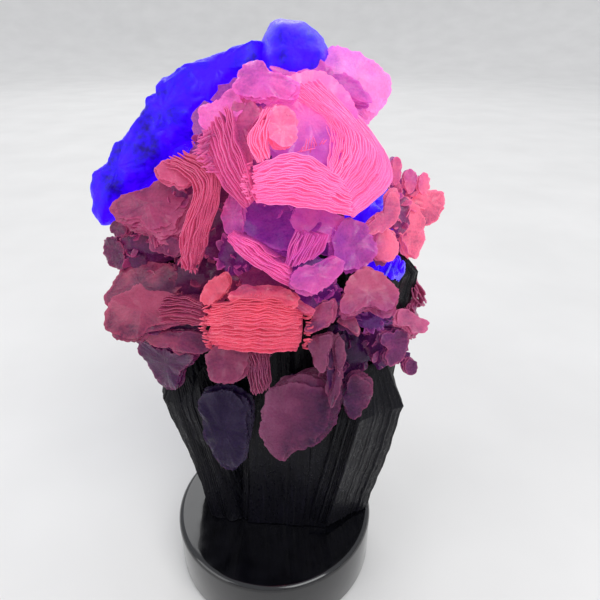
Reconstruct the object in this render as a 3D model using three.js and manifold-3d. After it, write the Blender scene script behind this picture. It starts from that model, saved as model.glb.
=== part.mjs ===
// A mineral specimen on a round display base, about 126 mm tall.
// A dark wolframite mass stands on the base. Blue fluorite blocks coat its upper left and back,
// and rosettes of pink bladed calcite grow over its front, right side and back.
// Millimetres, +Z up, the specimen faces -Y. Lengths below are measured from the middle of the
// base's top face, and the whole group is then moved so that its lowest middle point is the origin.

import * as THREE from "three";
import { ConvexGeometry } from "three/addons/geometries/ConvexGeometry.js";
import { mergeVertices } from "three/addons/utils/BufferGeometryUtils.js";
import Module from "manifold-3d";

const wasm = await Module();
wasm.setup();

// Driving dimensions
const BASE_RADIUS = 25; // a 50 mm round display base
const BASE_HEIGHT = 14.5;
const BASE_EDGE = 1.2; // bevel of the base's rims
const BASE_SIDES = 40;
const SEAT_GAP = 0.3; // air between the base and the specimen's flat foot
const GROWTH_GAP = 0.35; // how far a later crystal stays from an earlier one
const BLADE_THICK = 1.3; // middle thickness of one modelled calcite blade
const BLADE_EDGE = 0.3; // rim thickness of a blade as a share of its middle
const BLADE_SIDES = 4; // least number of sides, to which a larger blade adds
const SIDES_PER_MM = 0.7; // sides added for each millimetre of a blade's mean radius
const NOTCH = 0.05; // depth of a blade's notched rim as a share of its radius
const SHALLOW_NOTCH = 0.4; // the shallowest notch as a share of NOTCH
const LARGE_BLADE = 40; // half width times half height above which a blade's face is domed
const DOME_RING = 0.62; // where the dome's shoulder lies, as a share of the blade's radius
const DOME_RISE = 0.8; // height of the shoulder as a share of the blade's half thickness
const STEM_SHARE = 0.6; // width of a blade's stem where it meets the blade, as a share of the blade
const STEM_CLEAR = 0.8; // the same for its grown form, so that a slanting stem keeps its gap
const STEM_ROOT = 1.2; // half width of the stem at its root
const STEM_POINT = 0.5; // how far the stem runs on past its root
const GROOVE_SHARE = 0.84; // width of a book between two of its layers, as a share of the layers
const RIB_RELIEF = 0.45; // how far a rib stands out of a ribbed stack
const SMOOTH_LEVELS = 4; // lines across a stack's smooth outer form
const LUMP_REACH = 0.86; // least reach of a lump's corner as a share of its size
const LUMP_ROUGH = 0.22; // by how much of its size one corner may reach further than another
const TABLET_BEVEL = 0.28; // bevel of a tablet's long edges as a share of its thickness
const TABLET_RIDGE = [-0.55, 0.35]; // the ends of a tablet's tip edge as shares of its half width

// Finishes: colour, roughness and metalness of each kind of surface
const FINISHES = {
  hot_pink: new THREE.MeshStandardMaterial({ color: 0xff78b0, roughness: 0.45, metalness: 0 }),
  coral: new THREE.MeshStandardMaterial({ color: 0xe8607a, roughness: 0.5, metalness: 0 }),
  dusky_rose: new THREE.MeshStandardMaterial({ color: 0xb05070, roughness: 0.5, metalness: 0 }),
  mauve: new THREE.MeshStandardMaterial({ color: 0x7a3c60, roughness: 0.5, metalness: 0 }),
  violet: new THREE.MeshStandardMaterial({ color: 0xa850b8, roughness: 0.45, metalness: 0 }),
  electric_blue: new THREE.MeshStandardMaterial({ color: 0x3a0cff, roughness: 0.25, metalness: 0 }),
  wolframite_black: new THREE.MeshStandardMaterial({ color: 0x0c0a10, roughness: 0.35, metalness: 0.5 }),
  base_black: new THREE.MeshStandardMaterial({ color: 0x08080a, roughness: 0.12, metalness: 0 }),
};

// Small helpers

// Repeatable random numbers from 0 to 1.
function randomFrom(seed) {
  let state = seed * 7919 + 17;
  return () => {
    state = (state * 1103515245 + 12345) % 2147483648;
    return state / 2147483648;
  };
}

// A number for randomFrom that is a place's own, so that no two blades have the same notches.
function seedAt([x, y, z]) {
  return Math.round(Math.abs(x * 31 + y * 17 + z * 7));
}

function vector(p) {
  return new THREE.Vector3(p[0], p[1], p[2]);
}

// Axes of a blade. face is [yaw, pitch] in degrees of the way its flat side looks: yaw 0 is the
// front (-Y) and grows towards +X, pitch is above the horizon. roll turns it about that way.
function axesOf([yawDegrees, pitchDegrees], rollDegrees) {
  const yaw = THREE.MathUtils.degToRad(yawDegrees);
  const pitch = THREE.MathUtils.degToRad(pitchDegrees);
  const roll = THREE.MathUtils.degToRad(rollDegrees);
  const out = new THREE.Vector3(
    Math.sin(yaw) * Math.cos(pitch),
    -Math.cos(yaw) * Math.cos(pitch),
    Math.sin(pitch),
  );
  const level = new THREE.Vector3(Math.cos(yaw), Math.sin(yaw), 0);
  const rise = new THREE.Vector3().crossVectors(out, level);
  const side = level.clone().multiplyScalar(Math.cos(roll)).addScaledVector(rise, Math.sin(roll));
  const up = rise.clone().multiplyScalar(Math.cos(roll)).addScaledVector(level, -Math.sin(roll));
  return { side, up, out };
}

function solidOf(geometry) {
  const bare = geometry.clone();
  bare.deleteAttribute("normal");
  bare.deleteAttribute("uv");
  const merged = mergeVertices(bare, 1e-5);
  const mesh = new wasm.Mesh({
    numProp: 3,
    vertProperties: new Float32Array(merged.attributes.position.array),
    triVerts: new Uint32Array(merged.index.array),
  });
  return new wasm.Manifold(mesh);
}

function geometryOf(solid) {
  const mesh = solid.getMesh();
  const geometry = new THREE.BufferGeometry();
  geometry.setAttribute("position", new THREE.BufferAttribute(new Float32Array(mesh.vertProperties), 3));
  geometry.setIndex(new THREE.BufferAttribute(new Uint32Array(mesh.triVerts), 1));
  geometry.computeVertexNormals();
  return geometry;
}

function indexed(points, triangles) {
  const geometry = new THREE.BufferGeometry();
  const flat = points.flatMap((p) => [p.x, p.y, p.z]);
  geometry.setAttribute("position", new THREE.BufferAttribute(new Float32Array(flat), 3));
  geometry.setIndex(triangles);
  return geometry;
}

function joined(solids) {
  return solids.reduce((whole, next) => whole.add(next));
}

// The largest connected body, so that no loose sliver is left where a neighbour was cut away.
function largestBody(solid) {
  const bodies = solid.decompose();
  return bodies.reduce((best, next) => (next.volume() > best.volume() ? next : best));
}

// Shapes that crystals are made of. Each is a function of how much it is grown, in mm, so that
// a neighbour can be cut clear of it.

// One crystal blade with a notched rim, or a book of layers of them going deep mm back from the
// first, each slid and turned a little more than the last. size is [half width, half height], cup
// lifts the rim towards the face, bend lifts only its left and right, taper narrows its upper end.
// A blade with a root grows from there by a stem.
function leaf({ at, face, size, roll = 0, cup = 0, bend = 0, taper = 0, thick = BLADE_THICK, ...book }) {
  const { layers = 1, deep = 0, slide = [0, 0], turn = 0, root } = book;
  const sides = Math.round(BLADE_SIDES + SIDES_PER_MM * Math.sqrt(size[0] * size[1]));
  const random = randomFrom(seedAt(at));
  const notches = Array.from({ length: sides }, (_, i) => {
    return (i % 2 ? -NOTCH : NOTCH) * (SHALLOW_NOTCH + random());
  });
  return (grow = 0) => {
    const { out } = axesOf(face, roll);
    const points = [];
    const ring = (back, share, over) => {
      const { side, up } = axesOf(face, roll + turn * back);
      const middle = vector(at)
        .addScaledVector(out, -deep * back)
        .addScaledVector(side, slide[0] * back)
        .addScaledVector(up, slide[1] * back);
      for (let i = 0; i < sides; i += 1) {
        const angle = (i / sides) * 2 * Math.PI;
        const rim = 1 + (grow > 0 ? Math.abs(notches[i]) : notches[i]);
        const reach = share === 1 ? rim : share;
        const y = Math.sin(angle) * reach;
        const x = Math.cos(angle) * reach * (1 - taper * y);
        const p = middle.clone().addScaledVector(out, cup * (x * x + y * y) + bend * x * x + over);
        p.addScaledVector(side, x * (size[0] + grow));
        points.push(p.addScaledVector(up, y * (size[1] + grow)));
      }
      return middle;
    };
    const half = thick / 2 + grow;
    const edge = (thick / 2) * BLADE_EDGE + grow;
    points.push(vector(at).addScaledVector(out, half));
    if (size[0] * size[1] > LARGE_BLADE) ring(0, DOME_RING, half * DOME_RISE);
    for (let layer = 0; layer < layers; layer += 1) {
      const back = layers > 1 ? layer / (layers - 1) : 0;
      ring(back, 1, edge);
      ring(back, 1, -edge);
      if (layer < layers - 1) ring(back + 0.5 / (layers - 1), grow > 0 ? 1 : GROOVE_SHARE, 0);
    }
    const stem = grow > 0 ? STEM_CLEAR : STEM_SHARE;
    const rear = ring(layers > 1 ? 1 : 0, root ? stem : DOME_RING, -half);
    if (root) {
      const way = rear.clone().sub(vector(root)).normalize();
      const bent = new THREE.Quaternion().setFromUnitVectors(out, way);
      const { side, up } = axesOf(face, roll + (layers > 1 ? turn : 0));
      for (let i = 0; i < sides; i += 1) {
        const angle = (i / sides) * 2 * Math.PI;
        const spread = side.clone().multiplyScalar(Math.cos(angle)).addScaledVector(up, Math.sin(angle));
        spread.applyQuaternion(bent).setLength(STEM_ROOT + grow);
        points.push(vector(root).add(spread));
      }
      points.push(vector(root).addScaledVector(way, -STEM_POINT - grow));
    } else {
      points.push(rear.addScaledVector(out, -half));
    }
    return solidOf(indexed(points, ringTriangles(points.length, sides)));
  };
}

// Triangles of a closed form made of a first point, rings of the same number of sides and a last
// point.
function ringTriangles(count, sides) {
  const triangles = [];
  const rings = (count - 2) / sides;
  const last = 1 + (rings - 1) * sides;
  for (let i = 0; i < sides; i += 1) {
    const j = (i + 1) % sides;
    triangles.push(0, 1 + i, 1 + j);
    for (let r = 0; r < rings - 1; r += 1) {
      const a = 1 + r * sides;
      const b = a + sides;
      triangles.push(a + i, b + i, b + j);
      triangles.push(a + i, b + j, a + j);
    }
    triangles.push(count - 1, last + j, last + i);
  }
  return triangles;
}

// Leaves that grow from one root.
function rosette(root, leaves) {
  return leaves.map((one) => leaf({ ...one, root }));
}

// A smooth line through points.
function lineThrough(points) {
  return new THREE.CatmullRomCurve3(points, false, "centripetal");
}

// A ribbed stack seen on its blades' edges. rows are lines of points from the first blade's edge
// to the last one's, and every blade runs back to the root line. Its grown form has no ribs.
function ribs({ rows, root, count = 4, steps = 6 }) {
  return (grow = 0) => {
    const lines = rows.map((row) => lineThrough(row.map(vector)));
    const place = (u, v) => lineThrough(lines.map((line) => line.getPoint(u))).getPoint(v);
    const rootLine = lineThrough(root.map(vector));
    const levels = grow > 0 ? SMOOTH_LEVELS : count * 2 + 1;
    const points = [];
    for (let s = 0; s <= steps; s += 1) {
      const u = s / steps;
      const end = s === 0 ? -grow : s === steps ? grow : 0;
      const along = lines[0].getTangent(u).add(lines.at(-1).getTangent(u)).normalize();
      const across = place(u, 1).sub(place(u, 0)).normalize();
      const back = rootLine.getPoint(u);
      for (let level = 0; level < levels; level += 1) {
        const p = place(u, level / (levels - 1));
        const outward = p.clone().sub(back).normalize();
        const ridge = grow > 0 || level % 2 ? RIB_RELIEF : -RIB_RELIEF;
        const rim = level === 0 ? -grow : level === levels - 1 ? grow : 0;
        p.addScaledVector(outward, ridge / 2 + grow);
        points.push(p.addScaledVector(along, end).addScaledVector(across, rim));
      }
      const inward = back.clone().sub(place(u, 0.5)).normalize();
      points.push(back.addScaledVector(inward, grow).addScaledVector(along, end));
    }
    return outwardSolid(points, tubeTriangles(levels + 1, steps));
  };
}

// Triangles of a closed tube of equal rings, with a flat fan over each end.
function tubeTriangles(ring, steps) {
  const triangles = [];
  for (let s = 0; s < steps; s += 1) {
    for (let i = 0; i < ring; i += 1) {
      const a = s * ring + i;
      const b = s * ring + ((i + 1) % ring);
      triangles.push(a, b, b + ring);
      triangles.push(a, b + ring, a + ring);
    }
  }
  const last = steps * ring;
  for (let i = 0; i < ring - 2; i += 1) {
    triangles.push(ring - 1, i + 1, i);
    triangles.push(last + ring - 1, last + i, last + i + 1);
  }
  return triangles;
}

// The solid of these triangles, turned inside out if they face inward.
function outwardSolid(points, triangles) {
  const solid = solidOf(indexed(points, triangles));
  if (solid.volume() > 0) return solid;
  return solidOf(indexed(points, triangles.toReversed()));
}

// A rough lump with flat facets, for massive mineral between the blades.
function lump({ at, size, corners = 16, seed = 1 }) {
  return (grow = 0) => {
    const random = randomFrom(seed);
    const points = Array.from({ length: corners }, (_, i) => {
      const z = 1 - (2 * i + 1) / corners;
      const angle = i * Math.PI * (3 - Math.sqrt(5));
      const ring = Math.sqrt(1 - z * z);
      const rough = LUMP_REACH + LUMP_ROUGH * random();
      return new THREE.Vector3(
        at[0] + (size[0] * rough + grow) * ring * Math.cos(angle),
        at[1] + (size[1] * rough + grow) * ring * Math.sin(angle),
        at[2] + (size[2] * rough + grow) * z,
      );
    });
    return solidOf(new ConvexGeometry(points));
  };
}

// A flat-faced block, turned by angles in degrees about X, Y and Z.
function block({ at, size, turn = [0, 0, 0] }) {
  return (grow = 0) => {
    const geometry = new THREE.BoxGeometry(...size.map((s) => s + 2 * grow));
    const angles = new THREE.Euler(...turn.map((angle) => THREE.MathUtils.degToRad(angle)));
    geometry.applyMatrix4(new THREE.Matrix4().makeRotationFromEuler(angles));
    geometry.translate(...at);
    return solidOf(geometry);
  };
}

// A thick tabular crystal with bevelled long edges and a chisel tip. lean tips it to the right
// and to the back, in degrees, and turn spins it about its own length.
function tablet({ foot, high, wide, thick, turn = 0, lean = [0, 0], tip = 8 }) {
  return (grow = 0) => {
    const bevel = thick * TABLET_BEVEL;
    const w = wide / 2 + grow;
    const t = thick / 2 + grow;
    const outline = [
      [w, bevel],
      [w - bevel, t],
      [-w + bevel, t],
      [-w, -bevel],
      [-w + bevel, -t],
      [w - bevel, -t],
    ];
    const points = [];
    for (const [x, y] of outline) {
      points.push(new THREE.Vector3(x, y, -grow));
      points.push(new THREE.Vector3(x, y, high - tip + grow));
    }
    for (const share of TABLET_RIDGE) points.push(new THREE.Vector3(w * share, 0, high + grow));
    const spin = new THREE.Matrix4().makeRotationZ(THREE.MathUtils.degToRad(turn));
    const right = new THREE.Matrix4().makeRotationY(THREE.MathUtils.degToRad(lean[0]));
    const rear = new THREE.Matrix4().makeRotationX(THREE.MathUtils.degToRad(-lean[1]));
    const geometry = new ConvexGeometry(points);
    geometry.applyMatrix4(spin);
    geometry.applyMatrix4(right);
    geometry.applyMatrix4(rear);
    geometry.translate(...foot);
    return solidOf(geometry);
  };
}

// The display base: a turned disc with bevelled rims.
function baseGeometry() {
  const rim = BASE_RADIUS - BASE_EDGE;
  const profile = [
    [0, -BASE_HEIGHT],
    [rim, -BASE_HEIGHT],
    [BASE_RADIUS, -BASE_HEIGHT + BASE_EDGE],
    [BASE_RADIUS, -BASE_EDGE],
    [rim, 0],
    [0, 0],
  ];
  const geometry = new THREE.LatheGeometry(profile.map(([r, z]) => new THREE.Vector2(r, z)), BASE_SIDES);
  geometry.rotateX(Math.PI / 2);
  return geometry;
}

// The wolframite mass: thick tablets grown through each other, cut off flat at the foot.
const WOLFRAMITE = [
  tablet({ foot: [1, 7, -2], high: 92, wide: 34, thick: 15, turn: 4, lean: [-2, 1] }),
  tablet({ foot: [-6, 3, -2], high: 78, wide: 24, thick: 14, turn: 24, lean: [-9, 2] }),
  tablet({ foot: [11, 5, -2], high: 76, wide: 25, thick: 14, turn: -22, lean: [7, 2] }),
  tablet({ foot: [4, -2, -2], high: 66, wide: 26, thick: 12, turn: -6, lean: [3, -1] }),
  tablet({ foot: [15.6, -0.5, 2], high: 46, wide: 20, thick: 13, turn: 31, lean: [9.5, -4], tip: 10 }),
  tablet({ foot: [-9.5, 2, 2], high: 46, wide: 18, thick: 12, turn: -28, lean: [-11, -4], tip: 10 }),
  tablet({ foot: [-2, 13, -2], high: 58, wide: 26, thick: 11, turn: 14, lean: [-5, 9], tip: 12 }),
  tablet({ foot: [10, 13, -2], high: 66, wide: 20, thick: 10, turn: -30, lean: [8, 7], tip: 12 }),
];

// Everything above the foot's cutting plane.
function cutFoot(solid) {
  const slab = 200;
  const below = new THREE.BoxGeometry(slab, slab, slab);
  below.translate(0, 0, -slab / 2 + SEAT_GAP);
  return solid.subtract(solidOf(below));
}

// The crystals that grow on the mass, nearest to the eye first. A later one is cut clear of those
// before it.
const CRYSTALS = [
  {
    name: "calcite_main_rosette",
    finish: "hot_pink",
    shapes: [
      ribs({
        rows: [
          [[-1, -16, 92], [6.5, -22, 95.5], [14, -17, 90]],
          [[-1.5, -17, 89.5], [6.5, -25, 92.5], [15.5, -17, 87]],
          [[-1, -15, 86], [6.5, -22, 87.5], [16, -13, 83]],
        ],
        root: [[0, -8, 88], [7, -6, 88], [13, -6, 86]],
        count: 5,
        steps: 5,
      }),
      ribs({
        rows: [
          [[13, -14, 89], [11, -6, 96.5], [4, -3, 102]],
          [[16, -16, 87.5], [17, -11, 95], [7.5, -3, 104]],
          [[16.5, -12, 83], [21, -8, 91.5], [10, 1, 105]],
        ],
        root: [[12, -4, 86], [13, 1, 91], [6, 4, 97]],
        count: 4,
        steps: 5,
      }),
      leaf({ at: [7, -6, 94.5], face: [0, 34], size: [7, 8], cup: 1.2, thick: 2, root: [8, 0, 90] }),
    ],
  },
  {
    name: "calcite_inner_petal",
    finish: "coral",
    shapes: [
      ribs({
        rows: [
          [[1, -12, 100.5], [-1.5, -16, 96], [0, -18, 92.6]],
          [[3.6, -12, 101], [1.6, -17.5, 97], [2.5, -20, 94]],
        ],
        root: [[2, -7, 99], [1.5, -8, 96], [1.5, -9, 94]],
        count: 4,
        steps: 4,
      }),
      leaf({ at: [3.6, -13.4, 98], face: [18, 24], size: [2.9, 4.4], cup: 0.6 }),
    ],
  },
  {
    name: "calcite_left_strand",
    finish: "coral",
    shapes: [
      ribs({
        rows: [
          [[-9.7, -9, 96.6], [-7, -14, 90], [-2.3, -14, 84]],
          [[-4.5, -11, 101.5], [-2.5, -16, 94.6], [0.2, -16, 86.4]],
        ],
        root: [[-4, -5, 95], [-2, -6, 91], [0, -7, 87]],
        count: 5,
        steps: 5,
      }),
    ],
  },
  {
    name: "calcite_crown",
    finish: "hot_pink",
    shapes: [
      ...rosette([-2, 2, 95], [
        { at: [-2.6, -7, 102.2], face: [-8, 32], size: [7, 4.8], roll: 12, cup: -1, thick: 2 },
        { at: [-8.6, -6, 97.6], face: [-28, 26], size: [4.8, 5], cup: -0.8, thick: 1.8 },
        { at: [8, 1.6, 101.6], face: [5, 34], size: [9, 4.6], roll: -12, cup: 0.8, thick: 2 },
      ]),
    ],
  },
  {
    name: "calcite_upper_right_petal",
    finish: "hot_pink",
    shapes: rosette([12, 8, 96], [
      {
        at: [16.6, 3.4, 103.6],
        face: [14, 26],
        roll: -30,
        size: [8.8, 5.4],
        cup: -0.8,
        bend: -1.2,
        deep: 4.5,
        layers: 3,
        slide: [-1.2, -1.8],
        turn: 7,
      },
    ]),
  },
  {
    name: "calcite_left_strap",
    finish: "coral",
    shapes: [
      ribs({
        rows: [
          [[-18.3, -7, 90.7], [-11, -13, 88.3], [-14.3, -14, 78], [-14, -13, 73]],
          [[-15.6, -8, 92.6], [-8.3, -15, 89.7], [-11, -17, 80.3], [-12.7, -14.5, 73]],
          [[-14, -6, 92.8], [-6.3, -12, 90.2], [-8.6, -14, 80.5], [-11.6, -12, 73]],
        ],
        root: [[-12, -3, 89], [-8, -7, 87], [-9.5, -8, 80], [-11, -8, 74]],
        count: 4,
        steps: 8,
      }),
      lump({ at: [-9, -5, 80], size: [7, 5, 10], seed: 9, corners: 14 }),
    ],
  },
  {
    name: "calcite_left_plate",
    finish: "dusky_rose",
    shapes: [
      ...rosette([-20, -1, 77], [
        {
          at: [-20.6, -7, 83],
          face: [-16, 34],
          roll: 10,
          size: [7.6, 4.6],
          cup: -1,
          deep: 2.6,
          layers: 2,
          slide: [1, -2],
          turn: -10,
        },
        { at: [-27, -4.6, 77.8], face: [-20, 20], size: [2.6, 2.2] },
        { at: [-27.6, -2.5, 73.5], face: [-35, 15], size: [3.2, 4] },
        { at: [-18, -8, 77], face: [-8, 8], size: [3.8, 3.6], thick: 2 },
      ]),
      lump({ at: [-22, -1, 76], size: [8, 5.5, 8], seed: 11, corners: 12 }),
    ],
  },
  {
    name: "calcite_middle_fan",
    finish: "coral",
    shapes: [
      ribs({
        rows: [
          [[-9.8, -18, 68.5], [0, -24, 73.2], [8, -19, 69.4]],
          [[-10.7, -19, 65], [0, -27, 69.8], [8.4, -20, 65.6]],
          [[-10, -16, 59], [-0.4, -24, 63], [7.8, -17, 58.8]],
        ],
        root: [[-8, -8, 64], [0, -8, 65], [7, -8, 64]],
        count: 6,
      }),
      ...rosette([-2, -9, 66], [
        { at: [-8.5, -16, 71], face: [-10, 26], roll: -25, size: [1.9, 3.4] },
        { at: [0.5, -18, 73.6], face: [4, 50], size: [5, 3] },
      ]),
      lump({ at: [0, -9, 68], size: [10, 5, 6.5], seed: 12, corners: 12 }),
    ],
  },
  {
    name: "calcite_second_bowl",
    finish: "violet",
    shapes: [
      ribs({
        rows: [
          [[-5.4, -16, 81.3], [0.8, -22, 81.2], [5.6, -21, 76.4]],
          [[-6, -15, 79], [-0.2, -21, 77.6], [5.5, -20, 73.4]],
        ],
        root: [[-4, -9, 79], [1, -11, 78], [6, -12, 76]],
        count: 3,
        steps: 5,
      }),
      ...rosette([6, -9, 77], [
        { at: [8.6, -20.6, 76], face: [6, 30], roll: 12, size: [5, 3.4], cup: -0.8, thick: 1.6 },
        { at: [3.4, -13.6, 80.6], face: [0, 48], roll: 18, size: [8, 5.4], cup: 1, thick: 1.6 },
        { at: [10, -13, 82], face: [20, 30], roll: 30, size: [5.4, 3.8] },
        { at: [15.3, -12.6, 78.4], face: [24, 24], size: [4.8, 5.2], cup: 0.8, thick: 2 },
      ]),
    ],
  },
  {
    name: "calcite_right_disc",
    finish: "dusky_rose",
    shapes: rosette([16.5, -9, 66], [
      {
        at: [18.2, -17, 71],
        face: [8, 34],
        size: [5.5, 5.4],
        cup: 1,
        deep: 2.6,
        layers: 2,
        slide: [0.5, -2.2],
      },
      { at: [11, -19, 67.8], face: [-24, 22], roll: 25, size: [3, 3.6], cup: 0.6 },
      { at: [15, -17.5, 64.4], face: [-10, 40], roll: -30, size: [2.9, 1.9] },
    ]),
  },
  {
    name: "calcite_right_petal",
    finish: "dusky_rose",
    shapes: [
      ...rosette([24, -4, 55], [
        { at: [27.6, -9.6, 60.8], face: [20, 34], roll: -14, size: [4.3, 2.9], cup: 0.5, thick: 1.8 },
        { at: [25, -10.6, 55.6], face: [14, 16], roll: 8, size: [3.5, 4.4], thick: 1.8 },
        { at: [29.8, -5.6, 47.6], face: [24, 14], size: [2, 2.3] },
      ]),
      lump({ at: [24, -5, 54], size: [5, 4.5, 8], seed: 19, corners: 12 }),
    ],
  },
  {
    name: "calcite_leaf_blades",
    finish: "mauve",
    shapes: [
      ...rosette([14, -8, 53], [
        { at: [10.2, -17.6, 58.6], face: [-20, 12], roll: 12, size: [2.7, 4.4] },
        { at: [14, -15, 53.7], face: [58, 8], size: [4, 7.6] },
        { at: [18.2, -13.6, 45.8], face: [6, 12], roll: 8, size: [3.7, 5.9], thick: 1.8, taper: -0.2 },
      ]),
      lump({ at: [15.5, -9, 53], size: [6, 4.5, 7], seed: 23, corners: 12 }),
    ],
  },
  {
    name: "calcite_hanging_blade",
    finish: "mauve",
    shapes: rosette([5, -9, 47], [
      {
        at: [5, -18, 43],
        face: [-8, 12],
        roll: -6,
        size: [7.3, 9.2],
        cup: -1.4,
        deep: 2.6,
        layers: 2,
        slide: [1.6, 0.5],
        turn: -6,
      },
    ]),
  },
  {
    name: "calcite_lower_leaf",
    finish: "mauve",
    shapes: [
      ...rosette([-4, -9, 57], [
        { at: [-6.9, -19.6, 56.8], face: [-10, 30], roll: 8, size: [4.6, 3.5], thick: 1.6 },
      ]),
      ribs({
        rows: [
          [[-2.6, -18, 61], [-1.8, -19.5, 56], [-0.8, -19, 50]],
          [[1.6, -18.5, 61], [1.2, -20, 56], [0.6, -19, 50]],
        ],
        root: [[-0.5, -10, 60], [-0.5, -10, 56], [0, -10, 52]],
        count: 3,
        steps: 3,
      }),
      lump({ at: [-3, -10, 56], size: [5, 4, 5], seed: 31, corners: 10 }),
    ],
  },
  {
    name: "calcite_lower_left_blade",
    finish: "dusky_rose",
    shapes: [
      ...rosette([-17, -1, 60], [
        { at: [-22.6, -10.4, 63], face: [-12, 42], roll: -8, size: [9.8, 6], cup: -1.6, thick: 1.8 },
        { at: [-25, -5, 67.4], face: [-22, 36], roll: 16, size: [7.6, 5], cup: -1, thick: 1.6 },
        { at: [-17.6, -11, 58.6], face: [-10, 20], roll: -6, size: [9.4, 4], cup: -1, thick: 2 },
        { at: [-22.5, -5.5, 52], face: [-30, -4], roll: 10, size: [4.6, 9], thick: 1.8 },
      ]),
      lump({ at: [-13, -5, 68], size: [7, 5, 6], seed: 37, corners: 12 }),
    ],
  },
  {
    name: "calcite_dark_blade",
    finish: "mauve",
    shapes: rosette([-8, -2, 42], [
      { at: [-9.6, -12.4, 36], face: [-14, 6], roll: -6, size: [6, 10], cup: -1, thick: 2.4, taper: -0.15 },
    ]),
  },
  {
    name: "calcite_right_back_petals",
    finish: "coral",
    shapes: [
      ...rosette([26, 8, 77], [
        { at: [26, 9, 85.4], face: [6, 16], roll: 8, size: [1.7, 3.6] },
        { at: [29.2, 10, 83.2], face: [12, 20], roll: -12, size: [1.8, 3.6] },
        { at: [32, 11, 81.6], face: [20, 20], roll: -24, size: [1.9, 3.4] },
        { at: [33.4, 10, 77], face: [16, 24], roll: -28, size: [5.1, 4.1], cup: -0.6, thick: 1.8 },
        { at: [29, 6, 73.6], face: [34, 14], roll: -10, size: [3.9, 7.3], thick: 2 },
        { at: [23.3, -1.6, 73.4], face: [18, 20], size: [4.3, 4.6], cup: -0.6, thick: 1.8 },
      ]),
      lump({ at: [25, 7, 76], size: [5.4, 6.5, 7], seed: 43, corners: 9 }),
    ],
  },
  {
    name: "calcite_back_rosette",
    finish: "coral",
    shapes: rosette([9, 14, 73], [
      {
        at: [9, 21, 77],
        face: [172, 24],
        roll: 14,
        size: [9.5, 8],
        cup: 1.6,
        deep: 3,
        layers: 2,
        slide: [1, -2],
        turn: 12,
      },
      { at: [18, 19, 69], face: [146, 10], roll: -20, size: [6, 7], cup: -1, thick: 2 },
      { at: [1, 23, 69], face: [190, 34], roll: 6, size: [6.4, 4.6], cup: -1, thick: 2 },
      { at: [9, 20, 66], face: [172, 0], roll: 6, size: [6, 5], thick: 2 },
    ]),
  },
  {
    name: "calcite_back_blades",
    finish: "dusky_rose",
    shapes: rosette([-9, 13, 50], [
      { at: [-15, 20, 53], face: [206, 16], roll: 10, size: [7.4, 6], cup: -1.2, thick: 2 },
      { at: [-6, 24, 45], face: [186, 10], roll: -16, size: [5, 6.4], cup: -0.8, thick: 2 },
    ]),
  },
  {
    name: "calcite_right_side_rosette",
    finish: "dusky_rose",
    shapes: rosette([25, 7, 56], [
      { at: [32.6, 10, 58], face: [88, 22], roll: 12, size: [6.6, 5.6], cup: 1.2, thick: 2 },
      { at: [31.6, 5, 52], face: [72, 8], roll: -12, size: [5, 6], thick: 2 },
      { at: [29, 8, 50], face: [100, -6], size: [5, 7], thick: 2 },
    ]),
  },
  {
    name: "fluorite_lobe",
    finish: "electric_blue",
    shapes: [
      lump({ at: [4.4, 7.4, 104.6], size: [6, 6.4, 7.2], seed: 61, corners: 22 }),
      lump({ at: [9.4, 8.4, 102.4], size: [5.6, 5.6, 6], seed: 62, corners: 16 }),
      block({ at: [-0.8, 8, 101.4], size: [8, 9, 8.4], turn: [-6, -12, 8] }),
    ],
  },
  {
    name: "fluorite_crust",
    finish: "electric_blue",
    shapes: [
      block({ at: [-5.6, 7, 99.4], size: [9.5, 10, 8.6], turn: [6, -20, 10] }),
      block({ at: [-13, 7.4, 97.8], size: [11, 10, 9], turn: [-4, -34, 10] }),
      block({ at: [-19, 4.6, 91.4], size: [9, 11, 10], turn: [4, -38, 6] }),
      block({ at: [-23.2, 4.6, 87.2], size: [8.4, 10, 9.5], turn: [-6, -34, -14] }),
      block({ at: [-26.2, 3.6, 82], size: [8, 9, 9.4], turn: [8, -24, 12] }),
      block({ at: [-28.4, 2.4, 78.4], size: [5.4, 8, 9], turn: [4, -8, -10] }),
      block({ at: [-19, 10.6, 84], size: [12, 10, 12], turn: [4, -24, 20] }),
      block({ at: [-12, 12.6, 90], size: [12, 10, 12], turn: [-8, -20, -12] }),
      block({ at: [-23, 8, 73], size: [11, 11, 12], turn: [6, 10, 16] }),
    ],
  },
  {
    name: "fluorite_back",
    finish: "electric_blue",
    shapes: [
      block({ at: [-1, 16, 91], size: [12, 9, 11], turn: [10, 8, -14] }),
      block({ at: [9, 15, 92], size: [10, 9, 10], turn: [6, -16, 22] }),
      block({ at: [-7, 17.5, 81], size: [11, 8, 11], turn: [-6, 14, 10] }),
      block({ at: [-16, 15, 71], size: [10, 9, 10], turn: [12, -8, -22] }),
    ],
  },
  {
    name: "fluorite_window",
    finish: "electric_blue",
    shapes: [
      block({ at: [20, 3.4, 81.6], size: [5.4, 8, 8], turn: [10, 14, 20] }),
      block({ at: [18.4, -2.6, 79.4], size: [4.4, 8, 7], turn: [-8, 24, 12] }),
      block({ at: [25, 3, 66], size: [5, 7, 6], turn: [12, 30, 16] }),
      lump({ at: [22, 3.6, 70], size: [5, 5.5, 10], seed: 67, corners: 12 }),
    ],
  },
];

function meshOf(name, finish, geometry) {
  const mesh = new THREE.Mesh(geometry, FINISHES[finish]);
  mesh.name = name;
  return mesh;
}

function near(a, b, reach) {
  const p = a.boundingBox();
  const q = b.boundingBox();
  return [0, 1, 2].every((k) => p.min[k] - reach < q.max[k] && q.min[k] - reach < p.max[k]);
}

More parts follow.
